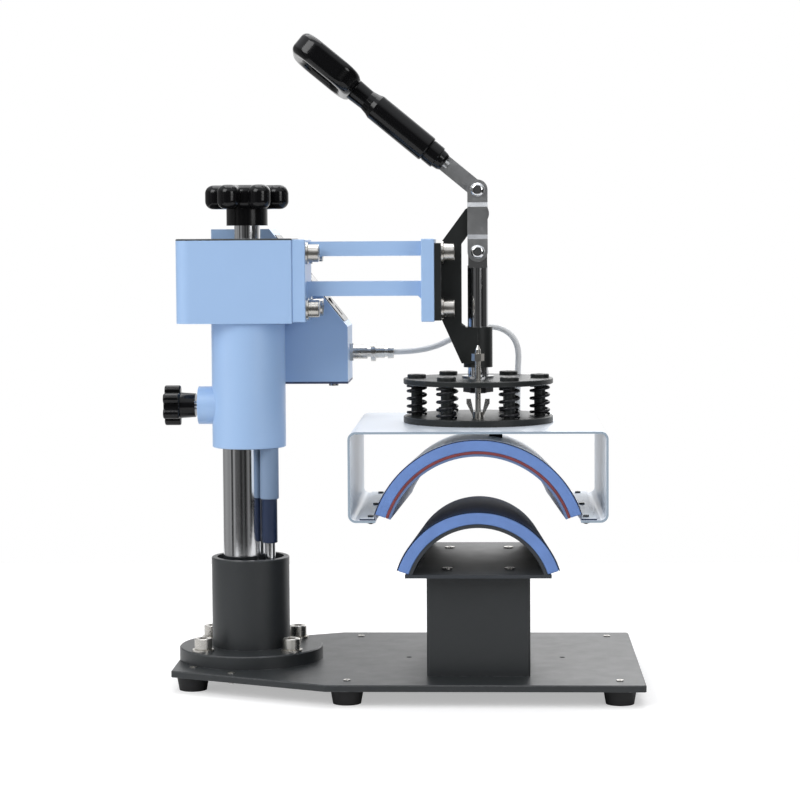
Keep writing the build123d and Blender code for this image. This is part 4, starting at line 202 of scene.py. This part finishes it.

# %% [markdown]
# ## Worn edges and painted edge shade
# Paint wears first on sharp edges. The Bevel node gives a rounded normal near an edge, and where it
# differs from the true normal the mask rises; noise breaks it up, because wear is never a clean line.
# The pale sheets of the bracket and the shell get painted shade along their front edges: every face that
# looks straight to the front or the back is darkened, so the normal alone finds those faces.

# %% Worn edges and painted edge shade
EDGE_WIDTH = 0.0007  # metres of wear from an edge
EDGE_GAIN = 7.0
CHIPS_PER_METRE = 260.0
CHIP_FROM, CHIP_GAIN = 0.4, 3.2
FACING_FROM, FACING_GAIN = 0.8, 8.0
edge, given, result = start_group("edge", [("Amount", "Float", 1.0)], [("Mask", "Float")])
bevel = edge.nodes.new("ShaderNodeBevel")
bevel.samples = 4
bevel.inputs["Radius"].default_value = EDGE_WIDTH
shape = edge.nodes.new("ShaderNodeNewGeometry")
dot = edge.nodes.new("ShaderNodeVectorMath")
dot.operation = "DOT_PRODUCT"
edge.links.new(bevel.outputs["Normal"], dot.inputs[0])
edge.links.new(shape.outputs["Normal"], dot.inputs[1])
sharp = maths(edge, "MULTIPLY", maths(edge, "SUBTRACT", 1.0, dot.outputs["Value"]), EDGE_GAIN, clamp=True)
chips = maths(edge, "SUBTRACT", noise_at(edge, CHIPS_PER_METRE, 4.0), CHIP_FROM)
broken = maths(edge, "MULTIPLY", chips, CHIP_GAIN, clamp=True)
edge.links.new(
    maths(edge, "MULTIPLY", maths(edge, "MULTIPLY", sharp, broken), given.outputs["Amount"], clamp=True),
    result.inputs["Mask"],
)

# Painted shade: this mask rises on faces that look straight to the front or the back, and those faces are
# then darkened.
cut, given, result = start_group("cut", [("Amount", "Float", 1.0)], [("Mask", "Float")])
faces = cut.nodes.new("ShaderNodeSeparateXYZ")
cut.links.new(cut.nodes.new("ShaderNodeTexCoord").outputs["Normal"], faces.inputs[0])
fore_and_aft = maths(cut, "SUBTRACT", maths(cut, "ABSOLUTE", faces.outputs["Y"]), FACING_FROM)
square_on = maths(cut, "MULTIPLY", fore_and_aft, FACING_GAIN, clamp=True)
cut.links.new(maths(cut, "MULTIPLY", square_on, given.outputs["Amount"]), result.inputs["Mask"])
print("groups", edge.name, cut.name)

# %% [markdown]
# ## One recipe for a finish
# Every finish on the machine is a colour with drifting tone, a gloss with smudges and a fine relief, and some
# also have worn edges, painted shade on faces that look to the front or the back, a clear coat or a drawn
# grain. One function can therefore build them all, and each material is then one line of a few honest values.
# Scales are per metre, because the frame is in metres.


# %% One recipe for a finish
COAT_ROUGH = 0.25


def use(tree, group, **values):
    """One use of a shared group, with its numbers and colours set."""
    node = tree.nodes.new("ShaderNodeGroup")
    node.node_tree = group
    for label, value in values.items():
        node.inputs[label].default_value = value
    return node


def surface(name, color, rough, metal=0.0, patches=(18.0, 0.08), relief_of=(900.0, 0.00003), smudge=0.06,
            wear=None, coat=0.0, sheen=0.0, grain=None, specular=0.5, cut_edge=None):
    """A procedural material: patchy tone, fine relief, uneven gloss, worn edges, and painted shade on faces
    that look to the front or the back.
    """
    material = bpy.data.materials.new(name)
    material.use_nodes = True
    tree = material.node_tree
    shader = tree.nodes["Principled BSDF"]
    shader.inputs["Metallic"].default_value = metal
    shader.inputs["Specular IOR Level"].default_value = specular
    shader.inputs["Coat Weight"].default_value = coat
    shader.inputs["Coat Roughness"].default_value = COAT_ROUGH
    shader.inputs["Sheen Weight"].default_value = sheen
    colour = use(tree, tone, Color=(*color, 1.0), Scale=patches[0], Amount=patches[1]).outputs["Color"]
    masks = [(use(tree, edge, Amount=wear[1]).outputs["Mask"], wear[0])] if wear else []
    # Painted shade on faces that look to the front or the back.
    if cut_edge:
        masks.append((use(tree, cut, Amount=cut_edge[1]).outputs["Mask"], cut_edge[0]))
    for mask, second in masks:
        mix = tree.nodes.new("ShaderNodeMix")
        mix.data_type = "RGBA"
        tree.links.new(mask, mix.inputs["Factor"])
        tree.links.new(colour, mix.inputs[6])
        mix.inputs[7].default_value = (*second, 1.0)
        colour = mix.outputs[2]
    tree.links.new(colour, shader.inputs["Base Color"])
    gloss = use(tree, handled, Value=rough, Amount=smudge).outputs["Value"]
    tree.links.new(gloss, shader.inputs["Roughness"])
    normal = use(tree, relief, Scale=relief_of[0], Height=relief_of[1]).outputs["Normal"]
    if grain:
        bump = tree.nodes.new("ShaderNodeBump")
        bump.inputs["Distance"].default_value = grain[1]
        tree.links.new(noise_at(tree, 1.0, 3.0, stretch=grain[0]), bump.inputs["Height"])
        tree.links.new(normal, bump.inputs["Normal"])
        normal = bump.outputs["Normal"]
    tree.links.new(normal, shader.inputs["Normal"])
    return material


materials = {}


def finish(name, *values, **more):
    """Make one finish and keep it under its slot's name."""
    materials[name] = surface(name, *values, **more)


print("recipe uses", tone.name, handled.name, relief.name, edge.name, cut.name)

# %% [markdown]
# ## Paints
# The steel parts are powder coated: near black on the base, socket and pedestal, light blue on the
# head, arm and boxes, and very pale blue on the bracket. Powder coat is a dull, slightly orange-peeled
# film that shows bare metal first on its edges. The frame round the toggle has a smoother black.

# %% Paints
BARE = (0.55, 0.56, 0.57)
PALE_EDGE = (0.75, 0.82, 0.90)
# Colours of painted shade for the front- and back-facing faces of the pale bracket and of the shell.
PALE_EDGE_SHADE = (0.27, 0.35, 0.43)
SHELL_EDGE_SHADE = (0.015, 0.025, 0.07)
finish("dark_paint", (0.026, 0.029, 0.031), 0.38, relief_of=(1500.0, 0.00006), smudge=0.08, wear=(BARE, 0.35))
finish("blue_paint", (0.35, 0.52, 0.79), 0.36, relief_of=(700.0, 0.00003), patches=(9.0, 0.05), coat=0.25,
       wear=(PALE_EDGE, 0.25))
finish("box_base_paint", (0.05, 0.07, 0.14), 0.45)
finish("black_paint", (0.016, 0.018, 0.018), 0.40, relief_of=(1300.0, 0.00005),
       wear=((0.20, 0.20, 0.20), 0.5), specular=0.35)
# The bracket's front- and back-facing faces get painted shade.
finish("pale_paint", (0.78, 0.84, 0.92), 0.34, relief_of=(700.0, 0.00003), patches=(7.0, 0.04), coat=0.2,
       cut_edge=(PALE_EDGE_SHADE, 0.9))
# The shell's front- and back-facing faces get painted shade in near black navy.
finish("shell_paint", (0.80, 0.86, 0.92), 0.38, cut_edge=(SHELL_EDGE_SHADE, 1.0))
finish("platen_steel", (0.035, 0.040, 0.047), 0.42)
print("paints", len(materials))

# %% [markdown]
# ## Metals
# The column and the plunger are hard chromed and ground, so they mirror the room in long upright
# bands. Screws and nuts are zinc plated, which is brighter but cloudier. Bronze, blackened steel and
# the blue-black heated face complete the set. All are metallic shaders, and what tells them apart is
# mostly their roughness.

# %% Metals
finish("chrome", (0.86, 0.87, 0.89), 0.09, metal=1.0, patches=(6.0, 0.02), smudge=0.05,
       relief_of=(60.0, 0.00002))
finish("zinc", (0.66, 0.64, 0.60), 0.28, metal=1.0, patches=(90.0, 0.12), smudge=0.10,
       grain=((900, 900, 300), 0.00002))
finish("dark_screws", (0.06, 0.06, 0.065), 0.35, metal=0.7)
finish("bronze", (0.60, 0.42, 0.20), 0.30, metal=1.0)
finish("spring_steel", (0.014, 0.014, 0.016), 0.33, metal=0.3)
finish("face_metal", (0.16, 0.24, 0.44), 0.42, metal=0.3)

# %% [markdown]
# ## Plastics and rubbers
# The knobs and the handle are glossy black mouldings, the guide bush is navy, darkened further as painted
# shade for the sleeve's shadow above it, and the cable has a pale grey jacket. The foams are open and matte,
# so they get more relief and a little sheen. The heater between the upper layers shows as an uneven dark red
# line, so its tone changes strongly over short lengths.

# %% Plastics and rubbers
# Navy darker than the plastic itself: part of it is painted shade for the sleeve's shadow on the guide bush.
finish("navy_plastic", (0.012, 0.024, 0.062), 0.38)
finish("black_plastic", (0.004, 0.004, 0.0045), 0.15, relief_of=(500.0, 0.00003), specular=0.36)
finish("key_plastic", (0.50, 0.52, 0.55), 0.45)
finish("window", (0.012, 0.03, 0.03), 0.12, coat=0.6)
finish("board", (0.03, 0.20, 0.08), 0.40)
finish("foam_blue", (0.14, 0.25, 0.56), 0.75, patches=(60.0, 0.16), relief_of=(1100.0, 0.00025), sheen=0.15)
finish("heater_maroon", (0.20, 0.040, 0.045), 0.6, patches=(38.0, 0.5))
finish("cover_skin", (0.020, 0.031, 0.062), 0.72, relief_of=(900.0, 0.00008), specular=0.08)
finish("black_rubber", (0.010, 0.010, 0.011), 0.6, relief_of=(1200.0, 0.0001))
finish("cable_grey", (0.82, 0.84, 0.85), 0.38)

# %% [markdown]
# ## Dressing the nodes
# Each node names its slot in the record, so one loop dresses the whole machine. Three pieces differ from
# their slot: the lever and the link are plated flat steel with a drawn grain, greyer than the column's
# chrome, and the guide tube under the sleeve gets a darker grey blue than the sleeve, which is painted shade
# for the shadow the sleeve casts on it.

# %% Dressing the nodes
slots = {part["node"]: part["material_slot"] for part in frame["record"]["subparts"]}
for node, name in slots.items():
    holder = frame["nodes"][node]
    holder.data.materials.clear()
    holder.data.materials.append(materials[name])
plated = surface("plated_steel", (0.60, 0.61, 0.62), 0.36, metal=1.0, patches=(70.0, 0.16), smudge=0.12,
                 grain=((500, 500, 90), 0.00003))
# The guide tube's darker blue is painted shade for the sleeve's shadow.
sleeve_shade_blue = surface("guide_shade_paint", (0.19, 0.27, 0.40), 0.40, relief_of=(700.0, 0.00003), patches=(9.0, 0.05))
for node, own in (("link_plates", plated), ("lever", plated), ("guide_tube", sleeve_shade_blue)):
    frame["nodes"][node].data.materials.clear()
    frame["nodes"][node].data.materials.append(own)
print("materials", len(bpy.data.materials), "on", len(slots), "nodes")

# %% [markdown]
# ## A slab bent over an arch
# The foams, the heater and the lower skin are flat sheets, cut with square ends and bent over an
# arch that gets smaller to the back, as a shin does. They could be simulated as cloth, but a cut foam
# doesn't hang or swell, so the slab is laid out flat, its edges are rounded and it is then bent by
# formula. Rows of points crowd together at the edges, and noise lifts the surface by fractions of
# a millimetre, more at the cut ends than in the middle.


# %% A slab bent over an arch
PRESS_X = 72.0  # the press axis
PLATEN_HALF = 110.0  # half the platens' length
PLATEN_TAPER = 11.0  # how much smaller the arch's radius is at the back
EDGE_ROWS = 5
LUMPS_ALONG, LUMPS_OUT = 0.05, 0.08  # lumps to the millimetre, along the slab and through it
LUMPS_AT = (3.1, 7.7, 1.9)
MIDDLE_LUMP, END_LUMP = 0.35, 0.8  # share of the wave in the middle, and lengthwise at the ends


def rows_of(count, length, round_r):
    """Places along one side, crowded at both ends so that the rounded edges are smooth."""
    flat = [(-0.5 + k / count) * (length - 2 * round_r) for k in range(count + 1)]
    steps = [round_r * share for share in (0.25, 0.5, 0.75, 1.0)]
    return [flat[0] - step for step in reversed(steps)] + flat + [flat[-1] + step for step in steps]


def rounded(point, sides, round_r):
    """Pull a point of a box onto the same box with rounded edges."""
    core = [max(round_r - side / 2, min(side / 2 - round_r, value)) for value, side in zip(point, sides)]
    off = Vector(point) - Vector(core)
    if off.length < 1e-9:
        return Vector(core)
    return Vector(core) + off.normalized() * round_r


def skin_faces(mesh, made, last):
    """Close the six sides of the slab with quads."""
    for a, b, c in ((0, 1, 2), (1, 2, 0), (2, 0, 1)):
        for end in (0, last[c]):
            for p in range(last[a]):
                for q in range(last[b]):
                    keys = []
                    for dp, dq in ((0, 0), (1, 0), (1, 1), (0, 1)):
                        key = [0, 0, 0]
                        key[a], key[b], key[c] = p + dp, q + dq, end
                        keys.append(made[tuple(key)])
                    mesh.faces.new(keys if end else list(reversed(keys)))
    bmesh.ops.recalc_face_normals(mesh, faces=mesh.faces)


def bent_slab(name, inner, thick, arch, round_r, wave, slot, counts=(96, 5, 64)):
    """A rounded slab bent over a tapered arch. Arch is its axis height, end height and base radius."""
    axis_z, cut_z, base_r = arch
    start_front = asin((cut_z - axis_z) / base_r)
    start_back = asin((cut_z - axis_z) / (base_r - PLATEN_TAPER))
    arc = (inner + thick / 2 - PLATEN_TAPER / 2) * (pi - start_front - start_back)
    sides = (arc, thick, 2 * PLATEN_HALF)
    rows = [rows_of(count, side, round_r) for count, side in zip(counts, sides)]
    last = [len(row) - 1 for row in rows]
    mesh = bmesh.new()
    made = {}
    for i, along in enumerate(rows[0]):
        for j, out in enumerate(rows[1]):
            for k, back in enumerate(rows[2]):
                if not (i in (0, last[0]) or j in (0, last[1]) or k in (0, last[2])):
                    continue
                x, t, y = rounded((along, out, back), sides, round_r)
                share = (y + PLATEN_HALF) / (2 * PLATEN_HALF)
                start = start_front + (start_back - start_front) * share
                turn = start + (x / arc + 0.5) * (pi - 2 * start)
                steps = (x * LUMPS_ALONG, t * LUMPS_OUT, y * LUMPS_ALONG)
                lump = wave * noise.noise(Vector([a + b for a, b in zip(steps, LUMPS_AT)]))
                at_end = k < EDGE_ROWS or k > last[2] - EDGE_ROWS
                near_edge = at_end or i < EDGE_ROWS or i > last[0] - EDGE_ROWS
                r = inner - PLATEN_TAPER * share + t + thick / 2
                r += lump * (1.0 if near_edge else MIDDLE_LUMP) * (1 if t > 0 else 0)
                y += END_LUMP * lump * (1 if at_end else 0)
                made[i, j, k] = mesh.verts.new(
                    ((PRESS_X + r * cos(turn)) * MM, y * MM, (axis_z + r * sin(turn)) * MM)
                )
    skin_faces(mesh, made, last)
    data = bpy.data.meshes.new(name)
    mesh.to_mesh(data)
    mesh.free()
    for face in data.polygons:
        face.use_smooth = True
    piece = bpy.data.objects.new(name, data)
    bpy.context.scene.collection.objects.link(piece)
    data.materials.append(materials[slot])
    return piece


print("slabs", 2 * PLATEN_HALF, "mm long, bent round x =", PRESS_X)

# %% [markdown]
# ## The lower pad and its skin
# The lower platen carries a foam about 10 mm thick, which gives way under the shin guard, and a dark
# heat-proof skin over it. The foam's front end shows as a blue band and the skin as a thin dark line
# above it. The skin is its own slab, so that its edge can lie slightly uneven on the foam.

# %% The lower pad and its skin
PAD_INNER, PAD_T = 64.15, 10.4
SKIN_INNER, SKIN_T = 74.6, 1.0
LOWER_ARCH = (93.5, 113.3, PAD_INNER)
lower_pad = bent_slab("lower_pad_foam", PAD_INNER, PAD_T, LOWER_ARCH, 1.1, 0.35, "foam_blue")
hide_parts("lower_pad")
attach(lower_pad, "base")
lower_skin = bent_slab("lower_skin", SKIN_INNER, SKIN_T, LOWER_ARCH, 0.42, 0.10, "cover_skin",
                       counts=(96, 1, 64))
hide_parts("lower_cover")
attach(lower_skin, "base")
print("lower faces", len(lower_pad.data.polygons), len(lower_skin.data.polygons))

# %% [markdown]
# ## The upper foam and the heater
# Above the heated face lies the heater, a thin silicone sheet with its wires inside, and over it a
# foam that keeps the heat from the shell. Both are bent by the same function over the upper arch, so
# that the layers nest without gaps.

# %% The upper foam and the heater
UPPER_ARCH = (136.4, 162.0, 81.1)
FOAM_INNER, FOAM_T = 85.6, 9.6
HEATER_INNER, HEATER_T = 83.15, 2.4
upper_foam = bent_slab("upper_foam_layer", FOAM_INNER, FOAM_T, UPPER_ARCH, 0.9, 0.30, "foam_blue")
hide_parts("upper_foam")
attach(upper_foam, "platen")
heater = bent_slab("heater_layer", HEATER_INNER, HEATER_T, UPPER_ARCH, 0.5, 0.08, "heater_maroon",
                   counts=(96, 1, 64))
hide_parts("heater")
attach(heater, "platen")
print("upper faces", len(upper_foam.data.polygons), len(heater.data.polygons))

# %% [markdown]
# ## The springs
# Six wire springs stand on the lower disc and push the platen down. When the pads meet, the platen rises up
# to 8 mm and the springs get shorter, while the wire only turns a little. Real coils would be bent turn by
# turn. Here the modelled coils are taken over as they are, in a copy that goes with the platen, and they are
# not pressed flatter.

# %% The springs
springs = bpy.data.objects.new("spring_coils", frame["nodes"]["springs"].data.copy())
bpy.context.scene.collection.objects.link(springs)
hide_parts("springs")
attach(springs, "platen")
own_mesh(springs)
print("springs", len(springs.data.polygons), "faces")

# %% [markdown]
# ## The heater cable's route
# The cable leaves the connector level, rises behind the toggle frame, turns over and drops to the grommet in
# the bracket. A stiff round cable takes smooth bends, so its line is a curve of low order through listed
# points, the same ones as in the model. Its path is taken as a mesh from that line before it gets any
# thickness.

# %% The heater cable's route
CABLE_Y = 78.0  # the cable hangs in one upright plane
CABLE_R = 2.8
cable_route = [
    (-8.6, 300.5),
    (22.0, 300.5),
    (56.0, 317.5),
    (88.0, 327.0),
    (111.0, 311.0),
    (109.0, 274.0),
    (109.0, 229.5),
]
line = bpy.data.curves.new("cable_line", "CURVE")
line.dimensions = "3D"
spline = line.splines.new("NURBS")
spline.points.add(len(cable_route) - 1)
for point, (x, z) in zip(spline.points, cable_route):
    point.co = (x * MM, CABLE_Y * MM, z * MM, 1.0)
spline.order_u = 3
spline.use_endpoint_u = True
spline.resolution_u = 24
line_object = bpy.data.objects.new("cable_line", line)
bpy.context.scene.collection.objects.link(line_object)
bpy.context.view_layer.update()
traced = bpy.data.meshes.new_from_object(line_object)

# %% [markdown]
# ## The heater cable's body
# A bevelled curve gives a round jacket of even thickness, with caps that hide inside the connector and the
# grommet. It is turned into a mesh and left where it lies. On the machine the cable bends with the plunger,
# its first end staying with the head and its last end going down with the bracket, but this mesh is fixed to
# neither.

# %% The heater cable's body
line.bevel_depth = CABLE_R * MM
line.bevel_resolution = 6
line.use_fill_caps = True
bpy.context.view_layer.update()
cable_mesh = bpy.data.meshes.new_from_object(line_object)
bpy.data.objects.remove(line_object)
cable = bpy.data.objects.new("cable_cord", cable_mesh)
bpy.context.scene.collection.objects.link(cable)
cable_mesh.materials.clear()
cable_mesh.materials.append(materials["cable_grey"])
for face in cable_mesh.polygons:
    face.use_smooth = True
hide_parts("cable")
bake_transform(cable)
print("cable faces", len(cable_mesh.polygons))

# %% [markdown]
# ## Floor
# The picture has a pure white ground with only a soft shadow under the machine. A white floor alone
# would come out grey in its own shadow, and a stronger lamp would wash out the pale bracket. So the
# floor has a plain pale colour and adds light of its own only for rays that come from the camera.

# %% Floor
FLOOR_HALF = 0.75
FLOOR_GREY = 0.72
FLOOR_GLOW = 0.42
corners = [(-1, -1), (1, -1), (1, 1), (-1, 1)]
floor_data = bpy.data.meshes.new("floor")
floor_data.from_pydata([(x * FLOOR_HALF, y * FLOOR_HALF, 0) for x, y in corners], [], [(0, 1, 2, 3)])
floor = bpy.data.objects.new("floor", floor_data)
bpy.context.scene.collection.objects.link(floor)
white = bpy.data.materials.new("white_floor")
white.use_nodes = True
tree = white.node_tree
shader = tree.nodes["Principled BSDF"]
shader.inputs["Base Color"].default_value = (FLOOR_GREY, FLOOR_GREY, FLOOR_GREY, 1.0)
shader.inputs["Roughness"].default_value = 0.9
shader.inputs["Specular IOR Level"].default_value = 0.2
shader.inputs["Emission Color"].default_value = (1, 1, 1, 1)
rays = tree.nodes.new("ShaderNodeLightPath")
glow = maths(tree, "MULTIPLY", rays.outputs["Is Camera Ray"], FLOOR_GLOW)
tree.links.new(glow, shader.inputs["Emission Strength"])
floor_data.materials.append(white)
print("floor", 2 * FLOOR_HALF, "m wide")

# %% [markdown]
# ## The room that polished metal sees
# Chrome has no look of its own: it shows the room. On the real column that room is a studio with
# white behind the machine, dark curtains in front and to the right, and a few bright strips between
# them, which turn into thin upright lines. A colour ramp round the compass makes the same room. A
# flat white world would be simpler, but chrome in a white room looks like grey plaster. Higher up
# the room is evenly pale, as a ceiling is.

# %% The room that polished metal sees
CEILING_FROM, CEILING_GAIN = 0.35, 3.0  # the height at which the ceiling starts, and how fast
world = bpy.data.worlds.new("studio")
bpy.context.scene.world = world
world.use_nodes = True
tree = world.node_tree
split = tree.nodes.new("ShaderNodeSeparateXYZ")
tree.links.new(tree.nodes.new("ShaderNodeTexCoord").outputs["Generated"], split.inputs[0])
turn = tree.nodes.new("ShaderNodeMath")
turn.operation = "ARCTAN2"
tree.links.new(split.outputs["X"], turn.inputs[0])
tree.links.new(maths(tree, "MULTIPLY", split.outputs["Y"], -1.0), turn.inputs[1])
around = maths(tree, "ADD", maths(tree, "DIVIDE", turn.outputs[0], 2 * pi), 0.5)
room = tree.nodes.new("ShaderNodeValToRGB")
room_bands = [
    (0.0, 1.0), (0.07, 0.85), (0.10, 0.20), (0.14, 0.25), (0.20, 0.30), (0.27, 0.22), (0.30, 0.28),
    (0.318, 0.02), (0.335, 0.05), (0.358, 0.34), (0.385, 0.09), (0.44, 0.07), (0.47, 0.015), (0.50, 0.07),
    (0.535, 0.005), (0.577, 0.20), (0.61, 0.01), (0.66, 0.015), (0.70, 0.05), (0.77, 0.02), (0.84, 0.38),
    (0.92, 0.95), (1.0, 1.0),
]
while len(room.color_ramp.elements) < len(room_bands):
    room.color_ramp.elements.new(0.5)
for element, (place, value) in zip(room.color_ramp.elements, room_bands):
    element.position = place
    element.color = (value, value, value, 1.0)
tree.links.new(around, room.inputs["Fac"])
above = maths(tree, "SUBTRACT", split.outputs["Z"], CEILING_FROM)
up = maths(tree, "MULTIPLY", above, CEILING_GAIN, clamp=True)
print("bands", len(room_bands))

# %% [markdown]
# ## The world
# Three kinds of rays want three worlds. The camera, and rays that pass through glass, see pure white
# as the background. Mirror rays see the room above. All other rays only carry soft fill light, which
# is kept low, so that the lamps shape the machine and its colours come out as written.

# %% The world
CEILING = (0.80, 0.82, 0.85)
FILL = (0.42, 0.42, 0.43)


def mixed(mask, first, second):
    """Mix two colours in the world's tree, each a socket or a plain colour."""
    node = tree.nodes.new("ShaderNodeMix")
    node.data_type = "RGBA"
    tree.links.new(mask, node.inputs["Factor"])
    for slot, value in ((6, first), (7, second)):
        if isinstance(value, tuple):
            node.inputs[slot].default_value = (*value, 1.0)
        else:
            tree.links.new(value, node.inputs[slot])
    return node.outputs[2]


rays = tree.nodes.new("ShaderNodeLightPath")
mirrored = mixed(up, room.outputs["Color"], CEILING)
lit = mixed(rays.outputs["Is Glossy Ray"], FILL, mirrored)
straight = maths(tree, "MAXIMUM", rays.outputs["Is Camera Ray"], rays.outputs["Is Transmission Ray"])
background = tree.nodes["Background"]
tree.links.new(mixed(straight, lit, (1.0, 1.0, 1.0)), background.inputs["Color"])
background.inputs["Strength"].default_value = 1.0
print("world", world.name)

# %% [markdown]
# ## Lamps
# Product pictures use large soft lamps, so that paint shows broad gentle highlights and the shadow
# stays under the machine. The key stands in front on the left, a smaller fill on the right draws the
# thin white line down the plunger, and a low lamp at the left lights the inner walls of the bracket.
# That last one is hidden from mirror rays, because it would put a broad white band on the column. The
# top and back lamps lift the flat upper faces off the ground.


# %% Lamps
def area(name, at, towards, size, power):
    """A square area light aimed at a point."""
    data = bpy.data.lights.new(name, "AREA")
    data.shape = "SQUARE"
    data.size = size
    data.energy = power
    light = bpy.data.objects.new(name, data)
    bpy.context.scene.collection.objects.link(light)
    light.location = at
    light.rotation_euler = (Vector(towards) - Vector(at)).to_track_quat("-Z", "Y").to_euler()
    return light


MIDDLE = (0.0, 0.0, 0.28)
area("key", (-1.3, -1.5, 1.7), MIDDLE, 1.4, 27)
area("fill", (1.4, -1.8, 0.9), MIDDLE, 0.9, 9)
side_light = area("side", (-2.0, -0.7, 0.4), MIDDLE, 1.0, 9)
side_light.visible_glossy = False
area("top", (0.0, 0.4, 2.0), MIDDLE, 1.6, 21)
area("back", (0.6, 1.8, 1.2), MIDDLE, 1.4, 10)
